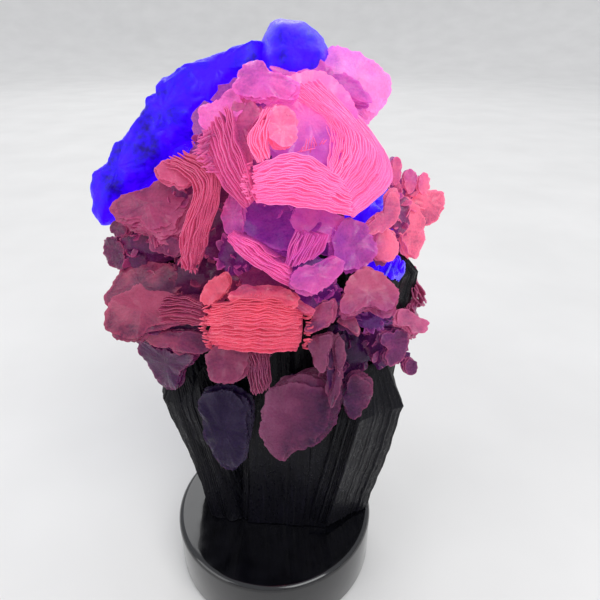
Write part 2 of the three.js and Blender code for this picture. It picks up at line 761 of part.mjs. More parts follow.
const specimen = new THREE.Group();
const mass = largestBody(cutFoot(joined(WOLFRAMITE.map((shape) => shape()))));
const kept = [joined(WOLFRAMITE.map((shape) => shape(GROWTH_GAP)))];
specimen.add(meshOf("wolframite_mass", "wolframite_black", geometryOf(mass)));
for (const { name, finish, shapes } of CRYSTALS) {
  let solid = joined(shapes.map((shape) => shape()));
  for (const earlier of kept) {
    if (near(solid, earlier, GROWTH_GAP)) solid = solid.subtract(earlier);
  }
  specimen.add(meshOf(name, finish, geometryOf(largestBody(solid))));
  kept.push(joined(shapes.map((shape) => shape(GROWTH_GAP))));
}
specimen.add(meshOf("display_base", "base_black", baseGeometry()));

const box = new THREE.Box3().setFromObject(specimen);
const middle = box.getCenter(new THREE.Vector3());
specimen.position.set(-middle.x, -middle.y, -box.min.z);

const wolframiteSpecimen = new THREE.Group();
wolframiteSpecimen.add(specimen);

export default wolframiteSpecimen;
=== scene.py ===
import math

import bpy
import numpy as np
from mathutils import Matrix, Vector


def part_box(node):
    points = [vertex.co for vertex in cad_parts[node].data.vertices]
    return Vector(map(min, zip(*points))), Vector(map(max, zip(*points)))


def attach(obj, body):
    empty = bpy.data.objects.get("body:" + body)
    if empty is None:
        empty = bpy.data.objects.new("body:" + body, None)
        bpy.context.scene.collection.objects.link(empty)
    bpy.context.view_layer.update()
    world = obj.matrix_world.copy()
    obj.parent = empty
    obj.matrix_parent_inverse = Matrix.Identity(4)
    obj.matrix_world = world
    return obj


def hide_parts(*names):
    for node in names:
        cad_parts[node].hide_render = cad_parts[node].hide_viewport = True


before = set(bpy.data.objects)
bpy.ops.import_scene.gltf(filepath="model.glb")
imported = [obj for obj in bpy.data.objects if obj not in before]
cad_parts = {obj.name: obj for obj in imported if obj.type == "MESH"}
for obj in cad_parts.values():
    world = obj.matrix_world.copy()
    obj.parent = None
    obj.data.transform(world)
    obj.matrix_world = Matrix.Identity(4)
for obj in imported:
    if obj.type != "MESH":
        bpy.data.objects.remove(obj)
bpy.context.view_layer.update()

# A fluorescent mineral specimen on a round display base: a black wolframite mass, pink bladed
# calcite rosettes and a blue fluorite crust. Shapes below are in millimetres, measured from the
# middle of the base's top face; Piece.add moves them into the frame, in metres.

MM = 0.001
BASE_LOW, BASE_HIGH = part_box("display_base")
TOP_MIDDLE = np.array([(BASE_LOW.x + BASE_HIGH.x) / 2, (BASE_LOW.y + BASE_HIGH.y) / 2, BASE_HIGH.z])

# Driving sizes
BASE_RADIUS = 25
BASE_HEIGHT = 14.5
BASE_EDGE = 1.2
SEAT_GAP = 0.3
BOOK_THICK = 1.3  # thickness of a book of blades
LAYER_PITCH = 0.5  # distance between two blades of a book
LAYER_THICK = 0.34  # thickness of one blade of a book
FRONT_BREAK = 0.1  # share of a book's outline by which its front blade is broken back
RIB_PITCH = 0.42  # distance between two blades of a ribbed stack
RIB_THICK = 0.36
RIB_EDGE = 0.14  # share of a rib's depth over which it thins towards its free edge
RIB_COMB = 0.32  # depth of the teeth in a rib's free edge
RIB_WAVE = 0.1  # how far a rib swings to its sides
RIB_ENDS = 0.07  # share that a whole rib lacks at an end, at most; some are broken further
STEM_FOOT = 1.2  # radius of a blade's stem at its root

# How fine the meshes are
RIM_STEP = 0.38  # length of one stretch of a blade's rim
RIM_COUNTS = (16, 190)  # fewest and most stretches of a rim
SMALL_RIM_STEP = 0.6  # the same length on the small blades
RIB_STEP = 0.35
RIB_COUNTS = (24, 76)
LUMP_MESH = (30, 16)  # points around and rings
PEBBLE_RIM_STEP = 0.5
PEBBLE_ROWS = 20
BLOCK_ROWS = 28
CUBE_ROWS = 12
TABLET_SIDES = 264
TABLET_ROWS = 19
BASE_SIDES = 128

EVEN = (0, 0, 0)  # a blade's dim or violet amounts where it is no darker or more violet anywhere
FIRST_SEED = 100  # of the crystals' random draws, one more for each node
MASS_SEED = 7
BASE_SEED = 3

# The camera stands where the photograph was taken from, in the same millimetres.
CAMERA_AT = (6.65, -97.1, 111.7)
CAMERA_DOWN = 28
FOCAL_PIXELS = 520
PHOTO_PIXELS = 600
SENSOR = 36

STUDIO_LIGHT = 0.85  # how bright the lights and the floor make a white surface
FLOOR_RADIUS = 1.4  # metres, as the other sizes of the studio
FLOOR_CURVE = 0.9
FLOOR_SIDES = 96
LIGHTS = (  # name, place from the specimen's middle, size, power
    ("key light", (0.55, -0.75, 1.1), 0.8, 8.0),
    ("fill light", (-1.1, -0.6, 0.55), 0.9, 4.0),
    ("rim light", (-0.2, 1.1, 0.9), 0.8, 3.5),
)


# Numbers and lines

def unit(v):
    """Vectors of length 1."""
    return v / np.maximum(np.linalg.norm(v, axis=-1, keepdims=True), 1e-9)


def axes_of(face, roll=0):
    """A blade's side, up and out. face is (yaw, pitch) of the way its flat side looks: yaw 0 is the
    front (-Y) and grows towards +X, pitch is above the horizon. roll turns it about that way."""
    yaw, pitch, roll = np.radians([face[0], face[1], roll])
    out = np.array([math.sin(yaw) * math.cos(pitch), -math.cos(yaw) * math.cos(pitch), math.sin(pitch)])
    level = np.array([math.cos(yaw), math.sin(yaw), 0])
    rise = np.cross(out, level)
    side = level * math.cos(roll) + rise * math.sin(roll)
    up = rise * math.cos(roll) - level * math.sin(roll)
    return side, up, out


def along(points, t):
    """Places at t, from 0 to 1, on the smooth line (a centripetal Catmull-Rom) through points."""
    p = np.asarray(points, float)
    p = np.concatenate([[2 * p[0] - p[1]], p, [2 * p[-1] - p[-2]]])
    t = np.clip(np.asarray(t, float), 0, 1) * (len(p) - 3)
    i = np.minimum(t.astype(int), len(p) - 4)
    w = (t - i)[..., None]
    a, b, c, d = p[i], p[i + 1], p[i + 2], p[i + 3]
    before, here, after = (
        np.sqrt(np.linalg.norm(stop - start, axis=-1, keepdims=True))
        for start, stop in ((a, b), (b, c), (c, d))
    )
    start = ((b - a) / before - (c - a) / (before + here) + (c - b) / here) * here
    stop = ((c - b) / here - (d - b) / (here + after) + (d - c) / after) * here
    return (
        (2 * w**3 - 3 * w**2 + 1) * b
        + (w**3 - 2 * w**2 + w) * start
        + (3 * w**2 - 2 * w**3) * c
        + (w**3 - w**2) * stop
    )


def ripple(p, step, rng, waves=7):
    """Smooth noise from about -1 to 1 at points p, with humps about step mm apart."""
    total = np.zeros(p.shape[:-1])
    for _ in range(waves):
        way = unit(rng.normal(size=3)) * (2 * math.pi / step) * rng.uniform(0.6, 1.5)
        total += np.sin(p @ way + rng.uniform(0, 2 * math.pi))
    return total / math.sqrt(waves)


def teeth(t, count, rng):
    """A ragged line from 0 to 1 at places t (0 to 1), with count uneven points and dips."""
    broadness, highest_dip = 0.35, 0.6
    knots = np.sort(np.concatenate([[0, 1], rng.uniform(0, 1, 2 * count)]))
    heights = rng.uniform(0, 1, len(knots)) ** broadness
    heights[1::2] = rng.uniform(0, highest_dip, len(heights[1::2]))
    heights[-1] = heights[0]
    return np.interp(t, knots, heights)


# Meshes

class Piece:
    """Gathers closed forms in mm, with the values that its material reads: rim grows towards a
    blade's free edge, which it paints with a highlight, and falls where painted shade darkens it, tone
    differs from blade to blade, arcs counts mm across its growth lines and violet says how much violet
    lamp light is painted into it."""

    def __init__(self, seed):
        self.rng = np.random.default_rng(seed)
        self.points, self.faces = [], []
        self.values = {"rim": [], "tone": [], "arcs": [], "violet": []}
        self.count = 0

    def rings(self, grid, rim=0.5, tone=None, first=None, last=None, arcs=0.0, violet=0.0):
        """A closed form from rings of points, [ring, angle, xyz], with a fan over each end."""
        rows, sides = grid.shape[:2]
        first = grid[0].mean(0) if first is None else first
        last = grid[-1].mean(0) if last is None else last
        tone = self.rng.uniform() if tone is None else tone
        at = self.count + 1 + np.arange(rows * sides).reshape(rows, sides)
        here, there = at[:-1], at[1:]
        quads = np.stack([here, there, np.roll(there, -1, 1), np.roll(here, -1, 1)], -1).reshape(-1, 4)
        end = self.count + 1 + rows * sides
        fans = [
            np.stack([np.full(sides, self.count), at[0], np.roll(at[0], -1)], -1),
            np.stack([np.full(sides, end), np.roll(at[-1], -1), at[-1]], -1),
        ]
        self.points.append(np.concatenate([[first], grid.reshape(-1, 3), [last]]))
        for label, value in (("rim", rim), ("tone", tone), ("arcs", arcs), ("violet", violet)):
            value = np.broadcast_to(value, (rows, sides))
            self.values[label].append(np.concatenate([[value[0].mean()], value.ravel(), [value[-1].mean()]]))
        self.faces += [quads, *fans]
        self.count = end + 1

    def add(self, name, node, slot, finish, crease=35):
        """Makes the object, which stands for its node, rides on the part and takes the finish."""
        points = np.concatenate(self.points) * MM + TOP_MIDDLE
        faces = [face for block in self.faces for face in block.tolist()]
        mesh = bpy.data.meshes.new(name)
        mesh.from_pydata(points.tolist(), [], faces)
        for label, values in self.values.items():
            attribute = mesh.attributes.new(label, "FLOAT", "POINT")
            attribute.data.foreach_set("value", np.concatenate(values).astype(np.float32))
        mesh.polygons.foreach_set("use_smooth", [True] * len(mesh.polygons))
        mesh.set_sharp_from_angle(angle=math.radians(crease))
        mesh.materials.append(finish)
        piece = bpy.data.objects.new(name, mesh)
        bpy.context.scene.collection.objects.link(piece)
        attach(piece, "root")
        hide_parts(node)
        return piece


# Places in the photograph

def ray(px, py):
    """The way from the camera through a place in the photograph, in pixels."""
    down = math.radians(CAMERA_DOWN)
    across = (px - PHOTO_PIXELS / 2) / FOCAL_PIXELS
    rise = (PHOTO_PIXELS / 2 - py) / FOCAL_PIXELS
    forward = np.array([0, math.cos(down), -math.sin(down)])
    upward = np.array([0, math.sin(down), math.cos(down)])
    return forward + np.array([across, 0, 0]) + rise * upward


def onto(px, py, at, out):
    """Where that line meets the plane through at that looks along out."""
    start = np.array(CAMERA_AT)
    way = ray(px, py)
    return start + way * ((np.array(at) - start) @ out) / (way @ out)


def seen(px, py, y):
    """Where that line meets the upright plane at y."""
    return onto(px, py, (0, y, 0), np.array([0, 1.0, 0]))


# Shapes of crystals. Each draws into a piece. Those marked later are named in the lists below without
# their piece, and drawn once it is there.

def later(draw):
    """The same function without its first argument, the piece, which is given in a second call."""
    def named(*places, **values):
        return lambda piece: draw(piece, *places, **values)
    return named


def hoop(count, across, other):
    """Points around an oval whose half axes are across and other."""
    angle = np.linspace(0, 2 * math.pi, count, endpoint=False)[:, None]
    return np.cos(angle) * across + np.sin(angle) * other


def traced(outline, at, axes):
    """An outline in the photograph as corners in the plane at that place."""
    side, up, out = axes
    spots = np.array([onto(px, py, at, out) for px, py in outline]) - at
    return np.stack([spots @ side, spots @ up], -1)


def oval(size, rng):
    """An uneven oval outline, as corners in a blade's plane."""
    count = 11
    angles = np.sort(np.linspace(0, 2 * math.pi, count, endpoint=False) + rng.uniform(-0.2, 0.2, count))
    reach = rng.uniform(0.84, 1.05, count)
    return np.stack([np.cos(angles) * reach * size[0], np.sin(angles) * reach * size[1]], -1)


def rim_line(corners, step):
    """Evenly spaced points on the smooth closed line through corners."""
    p = np.asarray(corners, float)
    wrapped = np.concatenate([p[-2:], p, p[:3]])
    last = len(wrapped) - 1
    fine = along(wrapped, np.linspace(2 / last, (2 + len(p)) / last, 16 * len(p) + 1))
    length = np.concatenate([[0], np.cumsum(np.linalg.norm(np.diff(fine, axis=0), axis=1))])
    count = int(np.clip(length[-1] / step, *RIM_COUNTS))
    at = np.linspace(0, length[-1], count, endpoint=False)
    return np.stack([np.interp(at, length, fine[:, i]) for i in range(2)], -1)


def plate(piece, middle, axes, corners, form=(0, 0), thick=LAYER_THICK, step=RIM_STEP, rows=3,
          dim=EVEN, violet=EVEN):
    """One thin blade with the outline corners: a broken rim, growth arcs and a slight ruffle. form is
    how far it is cupped and bent, in mm at its rim. dim (painted shade, or painted light where it is
    below 0) and violet (painted violet lamp light) are its amounts in the middle and how much they grow
    towards its right and its top."""
    rng = piece.rng
    side, up, out = axes
    rim = rim_line(corners, step)
    centre = rim.mean(0)
    spokes = rim - centre
    reach = np.linalg.norm(spokes, axis=1)
    large = min(1.0, reach.mean() / 4)  # small blades have smaller teeth and ruffles
    sides = len(rim)
    turn = np.arange(sides) / sides

    # The rim is broken into coarse and fine teeth.
    cut = 0.7 * teeth(turn, max(4, sides // 16), rng) + 0.55 * teeth(turn, max(6, sides // 3), rng)
    spokes = spokes * (1 - large * np.minimum(cut, 1.1) / reach)[:, None]

    # Rings from the middle to the rim are lifted by the form, a ruffle and fine unevenness.
    shares = 1 - np.linspace(1, 0, rows + 1)[1:] ** 1.5 * 0.85
    flat = centre + shares[:, None, None] * spokes
    across = flat / np.maximum(np.abs(rim).max(0), 0.5)
    lift = form[0] * (across**2).sum(-1) + form[1] * across[..., 0] ** 2
    angle = 2 * math.pi * turn
    lift += large * 0.3 * np.sin(angle * rng.integers(4, 9) + rng.uniform(0, 6)) * shares[:, None] ** 3
    warp = ripple(np.stack([across[..., 0], across[..., 1], lift], -1), 1.2, rng, 3)
    lift += large * 0.09 * np.sin(angle * (sides // 5) + 3 * warp) * shares[:, None] ** 4
    sheet = middle + flat[..., :1] * side + flat[..., 1:] * up
    lift += large * (0.13 * ripple(sheet, 3.4, rng, 4) + 0.03 * ripple(sheet, 0.9, rng, 4))
    sheet = sheet + lift[..., None] * out
    half = thick / 2 * (1 - 0.6 * shares[:, None, None] ** 6)

    # What the material reads: the rim, paler towards the free edge as a painted highlight and lower on the
    # back face as painted shade, the growth arcs, the painted shade of the dark parts and the painted violet
    # lamp light.
    edge = np.clip((shares[:, None] - 0.86) / 0.14, 0, 1) * rng.uniform(0.55, 1, sides)
    arcs = np.linalg.norm(flat - (centre - [0, 1.5 * reach.mean()]), axis=-1)
    place = (flat - centre) / np.abs(rim - centre).max(0)
    dark, blue = (amount[0] + place @ np.array(amount[1:]) for amount in (dim, violet))
    piece.rings(
        np.concatenate([sheet + half * out, sheet[::-1] - half * out]),
        rim=np.concatenate([0.5 + 0.5 * edge - dark, (0.38 + 0.4 * edge - dark)[::-1]]),
        first=sheet[0].mean(0) + out * thick / 2,
        last=sheet[0].mean(0) - out * thick / 2,
        arcs=np.concatenate([arcs, arcs[::-1]]),
        violet=np.concatenate([blue, blue[::-1]]),
    )


@later
def leaf(piece, at, face, size=None, outline=None, roll=0, cup=0, bend=0, thick=BOOK_THICK, deep=0,
         slide=(0, 0), turn=0, root=None, dim=EVEN, violet=EVEN):
    """A book of thin blades, the first one at the front and broken back furthest, with a stem from
    its root. It is an oval of that size or has that outline in the photograph. deep is added to its
    thickness, and slide and turn are how far its back blade is moved and turned from the front one."""
    rng = piece.rng
    look = {"dim": dim, "violet": violet}
    here = np.array(at, float)
    axes = axes_of(face, roll)
    out = axes[2]
    corners = oval(size, rng) if outline is None else traced(outline, here, axes)
    depth = deep + thick
    count = max(3, round(depth / LAYER_PITCH))
    for i in range(count):
        back = i / (count - 1)
        side, up, _ = axes_of(face, roll + turn * back + rng.uniform(-2.5, 2.5))
        middle = here + out * (thick / 2 - depth * back)
        middle += side * slide[0] * back + up * slide[1] * back
        least = 1 - FRONT_BREAK * (1 - min(i, 3) / 3)
        layer = corners * rng.uniform(least - 0.04, min(1.01, least + 0.1), (len(corners), 1))
        rows = 7 if i < 2 else 3
        plate(piece, middle, (side, up, out), layer, (cup, bend), rows=rows, **look)
    if root is not None:
        stem(piece, middle, np.array(root, float), (side, up), np.abs(corners).max(0) * 0.55, look)


def stem(piece, start, end, axes, wide, look):
    """The rough foot of a blade, from the blade down to its root, with small blades around it."""
    rng = piece.rng
    side, up = axes
    way = unit(start - end)
    broad = hoop(24, side * wide[0], up * wide[1])
    across = unit(np.cross(way, up))
    narrow = hoop(24, across, np.cross(across, way))
    if np.sum(broad * narrow) < 0:
        narrow = -narrow
    steps = np.linspace(0, 1, 9)[:, None, None]
    grid = start + broad * (1 - steps) + steps * ((end - start) + narrow * STEM_FOOT)
    grid += 0.4 * ripple(grid, 1.3, rng)[..., None] * unit(grid - (start + (end - start) * steps))
    # The stem is painted dark and violet: painted shade and violet lamp light at the blade's root.
    piece.rings(grid, 0.12 - look["dim"][0], 0.3, violet=0.4 + look["violet"][0])
    for _ in range(7):
        share = rng.uniform(0.35, 0.9)
        sideways = unit(np.cross(way, rng.normal(size=3)))
        middle = end + (start - end) * share + sideways * rng.uniform(0.5, 0.4 + 0.5 * max(wide))
        standing_blade(piece, middle, unit(way + sideways * 0.5), max(wide) * rng.uniform(0.35, 0.7), look)


def standing_blade(piece, middle, way, size, look):
    """A small blade that stands with its length along way."""
    rng = piece.rng
    out = unit(np.cross(way, rng.normal(size=3)))
    up = unit(way - out * (way @ out))
    corners = oval((size * rng.uniform(0.5, 0.9), size * rng.uniform(0.8, 1.3)), rng)
    axes = (np.cross(up, out), up, out)
    plate(piece, middle, axes, corners, form=(0, 0.2), thick=0.3, step=SMALL_RIM_STEP, rows=2, **look)


def rosette(root, leaves):
    """Leaves that grow from one root."""
    return [leaf(root=root, **one) for one in leaves]


@later
def ribs(piece, rows, root, relief=1.0, dim=0.0, violet=0.0):
    """A ribbed stack seen on its blades' edges. rows are lines of points from the first blade's
    edge to the last one's, and every blade runs back to the root line. relief is how far the
    blades stand out of line."""
    rng = piece.rng
    lines = np.array([along(row, np.linspace(0, 1, 20)) for row in rows])
    high = np.linalg.norm(np.diff(lines, axis=0), axis=-1).sum(0).max()
    long = np.linalg.norm(np.diff(lines[len(rows) // 2], axis=0), axis=-1).sum()
    stations = int(np.clip(long / RIB_STEP, *RIB_COUNTS))
    blades = max(5, round(high / RIB_PITCH))
    drift = rng.uniform(0, 6, 3)
    for blade in range(blades):
        low, top = RIB_ENDS * rng.uniform(0, 1, 2) ** 2
        if rng.uniform() < 0.22:
            broken = rng.uniform(0.1, 0.4)
            low, top = (broken, top) if rng.uniform() < 0.5 else (low, broken)
        u = np.linspace(low, 1 - top, stations)
        lines = np.array([along(row, u) for row in rows])
        v = (blade + 0.5 + rng.uniform(-0.25, 0.25)) / blades
        edge = along(lines, v)
        near = along(lines, min(v + 0.03, 1)) - along(lines, max(v - 0.03, 0))
        back = along(root, u)
        outward = unit(edge - back)
        run = unit(np.gradient(edge, axis=0))
        normal = unit(np.cross(run, outward))
        normal *= np.sign(np.sum(normal * near, -1, keepdims=True) + 1e-9)
        place = (u - u[0]) / (u[-1] - u[0])
        round_end = np.sqrt(np.clip(np.minimum(place, 1 - place) / 0.03, 0.02, 1))
        cut = RIB_COMB * (0.8 * teeth(place, max(4, stations // 4), rng) + 0.9 * teeth(place, 4, rng))
        proud = 0.25 * math.sin(blade * 2.4 + drift[2]) + rng.uniform(-0.15, 0.15)
        edge = edge + outward * (0.35 + relief * (proud - cut))[:, None]
        swing = relief * RIB_WAVE * np.sin(u * long / 1.3 + v * 5 + drift[0]) * rng.uniform(0.4, 1.6)
        swing += RIB_WAVE * 0.7 * np.sin(u * long / 0.6 + drift[1] + v * 9)
        swing += RIB_WAVE * 0.8 * np.sin(u * long * rng.uniform(0.5, 1.5) + rng.uniform(0, 6))
        inner = back + (edge - back) * 0.3
        depth = np.array([0, 0.05, 0.2, 1.0])
        grid = []
        for side_way, shares in ((1, depth), (-1, depth[::-1])):
            for share in shares:
                half = RIB_THICK / 2 * (0.3 + 0.7 * min(1, share / RIB_EDGE))
                line = edge + (inner - edge) * (share * round_end[:, None] + (1 - round_end[:, None]))
                grid.append(line + normal * (swing * (1 - share) + side_way * half * round_end)[:, None])
        # The rim value paints each rib palest at its free edge, a painted highlight, and darkest deep between
        # the ribs, painted shade; dim darkens the whole stack further as painted shade.
        rim = np.concatenate([depth, depth[::-1]])
        rim = np.interp(rim, [0, 0.04, RIB_EDGE, 1], [1, 0.75, 0.45, 0.1])
        piece.rings(np.array(grid).transpose(1, 0, 2), rim - dim, arcs=(u * long)[:, None], violet=violet)
    core(piece, rows, root, dim, violet)


def core(piece, rows, root, dim, violet):
    """The rough body behind a stack's free edges."""
    u = np.linspace(0.07, 0.93, 40)
    lines = np.array([along(row, u) for row in rows])
    back = along(root, u)
    loop = [along(lines, v) for v in np.linspace(0.08, 0.92, 12)]
    loop = [back + (line - back) * 0.8 for line in loop] + [back]
    grid = np.array(loop).transpose(1, 0, 2)
    grid += 0.3 * ripple(grid, 1.2, piece.rng)[..., None] * unit(grid - grid.mean(1, keepdims=True))
    # Its low rim value paints it dark: painted shade behind the ribs.
    piece.rings(grid, 0.3 - dim, 0.3, violet=violet)


@later
def lump(piece, at, size, dim=0.0, violet=0.35):
    """Rough crystalline mass between the blades, with small blades standing out of it. Its dark, violet
    colour is painted shade and painted violet lamp light in the gaps between the blades.
    """
    rng = piece.rng
    grid = ball(*LUMP_MESH)
    rough = 0.8 + 0.08 * ripple(grid, 0.8, rng) + 0.05 * ripple(grid, 0.28, rng)
    piece.rings(np.array(at) + grid * rough[..., None] * np.array(size), 0.12 - dim, 0.35, violet=violet)
    for _ in range(int(sum(size) * 2.4)):
        way = unit(rng.normal(size=3))
        middle = np.array(at) + way * np.array(size) * rng.uniform(0.68, 0.84)
        look = {"dim": (dim, 0, 0), "violet": (violet, 0, 0)}
        standing_blade(piece, middle, unit(way + rng.normal(size=3) * 0.3), rng.uniform(0.9, 1.9), look)


@later
def needles(piece, line, way, count, long=0.9, wide=0.18, loose=0.3):
    """Small pointed prisms that stand on a line, such as a fringe or the teeth of a comb."""
    rng = piece.rng
    for place in np.linspace(0, 1, count):
        foot = along(line, place) + rng.normal(size=3) * 0.15
        lean = unit(np.array(way, float) + rng.normal(size=3) * loose)
        across = unit(np.cross(lean, rng.normal(size=3)))
        ring = hoop(6, across, np.cross(lean, across))
        reach, thick = long * rng.uniform(0.55, 1.2), wide * rng.uniform(0.7, 1.2)
        grid = [foot + lean * reach * up + ring * thick * narrow
                for up, narrow in ((-0.6, 1), (0.1, 1), (0.7, 0.85), (1, 0.25))]
        # Each prism is painted dark at its foot and pale at its tip: painted shade and a painted highlight.
        piece.rings(np.array(grid), np.array([0.3, 0.5, 0.8, 1])[:, None])


def ball(sides, rows):
    """Points of a ball of radius 1, as rings from the top to the bottom."""
    polar = np.linspace(0, math.pi, rows + 2)[1:-1, None]
    angle = np.linspace(0, 2 * math.pi, sides, endpoint=False)
    ring = np.sin(polar)
    return np.stack([ring * np.cos(angle), ring * np.sin(angle), np.cos(polar) * np.ones(sides)], -1)[:, ::-1]


def turned(turn):
    """The matrix of turns in degrees about X, Y and Z."""
    x, y, z = np.radians(turn)
    about_x = np.array([[1, 0, 0], [0, math.cos(x), -math.sin(x)], [0, math.sin(x), math.cos(x)]])
    about_y = np.array([[math.cos(y), 0, math.sin(y)], [0, 1, 0], [-math.sin(y), 0, math.cos(y)]])
    about_z = np.array([[math.cos(z), -math.sin(z), 0], [math.sin(z), math.cos(z), 0], [0, 0, 1]])
    return about_x @ about_y @ about_z


def boulder(piece, at, size, spin, square, rows):
    """A cube with its edges rounded off, the more so the smaller square is, and a lumpy face."""
    rng = piece.rng
    grid = ball(rows * 2, rows)
    grid = grid / (np.abs(grid) ** square).sum(-1, keepdims=True) ** (1 / square)
    solid = grid * np.array(size) / 2
    dents = 0.26 * ripple(solid, 3.4, rng) + 0.09 * ripple(solid, 1.0, rng)
    piece.rings((solid + unit(grid) * dents[..., None]) @ spin.T + np.array(at), 0.6)


@later
def block(piece, at, size, turn):
    """Intergrown, rounded cubes: a large one with smaller ones half out of its faces."""
    rng = piece.rng
    spin = turned(turn)
    boulder(piece, at, size, spin, square=4, rows=BLOCK_ROWS)
    half = np.array(size) / 2
    for _ in range(8):
        way = rng.uniform(-1, 1, 3)
        way[rng.integers(3)] = rng.choice([-1, 1])
        edge = rng.uniform(0.25, 0.55) * min(size)
        middle = np.array(at) + spin @ (way * (half - edge * 0.42))
        tilt = turned(rng.uniform(-16, 16, 3))
        sizes = np.full(3, edge) * rng.uniform(0.8, 1.3, 3)
        boulder(piece, middle, sizes, spin @ tilt, square=rng.uniform(3, 6), rows=CUBE_ROWS)


@later
def pebble(piece, at, face, thick, outline, dents=0.22):
    """A glassy rounded mass with an outline from the photograph."""
    rng = piece.rng
    side, up, out = axes_of(face)
    here = np.array(at, float)
    rim = rim_line(traced(outline, here, (side, up, out)), PEBBLE_RIM_STEP)
    centre = rim.mean(0)
    turns = np.linspace(0, math.pi, PEBBLE_ROWS + 2)[1:-1]
    flat = centre + np.sin(turns)[:, None, None] ** 0.55 * (rim - centre)
    deep = np.cos(turns)[:, None, None] * thick / 2
    grid = here + flat[..., :1] * side + flat[..., 1:] * up + deep * out
    lumps = dents * ripple(grid, 3.2, rng) + dents * 0.4 * ripple(grid, 1.1, rng)
    piece.rings(grid + unit(grid - grid.mean((0, 1))) * lumps[..., None], 0.6)


@later
def tablet(piece, foot, high, wide, thick, turn=0, lean=(0, 0), tip=8):
    """A thick tabular crystal with striated sides and a chisel tip, cut off flat at the foot."""
    rng = piece.rng
    bevel = thick * 0.28
    w, t = wide / 2, thick / 2
    back = [(w, bevel), (w - bevel, t), (-w + bevel, t)]
    front = [(-w, -bevel), (-w + bevel, -t), (w - bevel, -t)]
    corners = np.array(back + front)
    share = np.linspace(0, 6, TABLET_SIDES, endpoint=False)
    i = share.astype(int)
    outline = corners[i] + (corners[(i + 1) % 6] - corners[i]) * (share - i)[:, None]
    fine = np.repeat(rng.uniform(-0.3, 0.1, TABLET_SIDES // 2), 2)
    grooves = fine + 0.22 * np.repeat(rng.uniform(-1, 1, TABLET_SIDES // 8), 8)
    chisel = high - tip * np.array([0.8, 0.6, 0.4, 0.2, 0.04])
    heights = np.concatenate([np.linspace(0, high - tip, TABLET_ROWS), chisel])
    grid = []
    for z in heights:
        closing = np.clip((z - (high - tip)) / tip, 0, 1)
        steps = 0.22 * np.round(2 * np.sin(z * 0.21 + share * 2) + np.sin(z * 0.9 + share * 5)) / 2
        ring = outline * (1 + ((grooves + steps) / np.linalg.norm(outline, axis=1))[:, None])
        x = ring[:, 0] * (1 - closing * 0.5) - w * 0.1 * closing
        grid.append(np.stack([x, ring[:, 1] * (1 - closing * 0.97), np.full(len(x), z)], -1))
    spin = turned((-lean[1], lean[0], turn))
    grid = np.array(grid) @ spin.T + np.array(foot, float)
    grid[..., 2] = np.maximum(grid[..., 2], SEAT_GAP)
    piece.rings(grid, 0.5)


# The specimen. Each list makes the visual piece of one node, in the place of its solid: outlines are
# pixels of the photograph, thrown onto a blade's plane, and all other places and sizes are mm.

WOLFRAMITE = [
    tablet(foot=(1, 7, -2), high=92, wide=34, thick=15, turn=4, lean=(-2, 1)),
    tablet(foot=(-6, 3, -2), high=78, wide=24, thick=14, turn=24, lean=(-9, 2)),
    tablet(foot=(11, 5, -2), high=76, wide=25, thick=14, turn=-22, lean=(7, 2)),
    tablet(foot=(4, -2, -2), high=66, wide=26, thick=12, turn=-6, lean=(3, -1)),
    tablet(foot=(15.6, -0.5, 2), high=46, wide=20, thick=13, turn=31, lean=(9.5, -4), tip=10),
    tablet(foot=(-9.5, 2, 2), high=46, wide=18, thick=12, turn=-28, lean=(-11, -4), tip=10),
    tablet(foot=(-2, 13, -2), high=58, wide=26, thick=11, turn=14, lean=(-5, 9), tip=12),
    tablet(foot=(10, 13, -2), high=66, wide=20, thick=10, turn=-30, lean=(8, 7), tip=12),
]


# In these lists dim is painted shade, or painted light where it is below 0, violet is painted violet lamp
# light, and the lumps are painted dark as shade between the blades.
CRYSTALS = {}

# Calcite at the top

CRYSTALS["calcite_main_rosette"] = [
    ribs(
        rows=[
            [(-1, -16, 92), (6.5, -22, 95.5), (14, -17, 90)],
            [(-1.5, -17, 89.5), (6.5, -25, 92.5), (15.5, -17, 87)],
            [(-1, -15, 86), (6.5, -22, 87.5), (16, -13, 83)],
        ],
        root=[(0, -8, 88), (7, -6, 88), (13, -6, 86)],
        relief=0.35,
    ),
    ribs(
        rows=[
            [(11, -13, 90), (11, -6, 96.5), (4, -3, 102)],
            [(12.5, -16, 87), (17.4, -11, 94), (7.5, -3, 104)],
            [(14.6, -15, 82.6), (22.4, -8.8, 88.8), (10, 1, 105)],
        ],
        root=[(12, -4, 86), (13, 1, 91), (6, 4, 97)],
        relief=0.35,
    ),
    leaf(at=(7, -6, 94.5), face=(0, 34), cup=1.2, thick=2, root=(8, 0, 90), dim=(-0.4, 0, -0.1),
         violet=(0.7, 0.1, -0.7), outline=[
        (262, 96), (272, 82), (295, 74), (322, 76), (348, 92), (362, 118), (358, 146), (345, 170),
        (315, 172), (285, 166), (262, 150), (255, 122),
    ]),
    needles([seen(300, 151, -9), seen(322, 143, -8)], way=(0.3, -0.6, 1), count=9, long=2.2, wide=0.12),
    needles([seen(250, 164, -15), seen(246, 181, -16), seen(252, 200, -15)], way=(-1, -0.4, 0.1), count=18),
    lump(at=seen(262, 180, -9), size=(3, 3, 6)),
]

CRYSTALS["calcite_inner_petal"] = [
    ribs(
        rows=[
            [(1, -12, 100.5), (-1.5, -16, 96), (0, -18, 92.6)],
            [(3.6, -12, 101), (1.6, -17.5, 97), (2.5, -20, 94)],
        ],
        root=[(2, -7, 99), (1.5, -8, 96), (1.5, -9, 94)],
    ),
    leaf(at=(3.6, -13.4, 98), face=(18, 24), cup=0.6, outline=[
        (263, 112), (275, 104), (290, 106), (299, 120), (298, 140), (290, 153), (274, 152), (262, 134),
    ]),
]

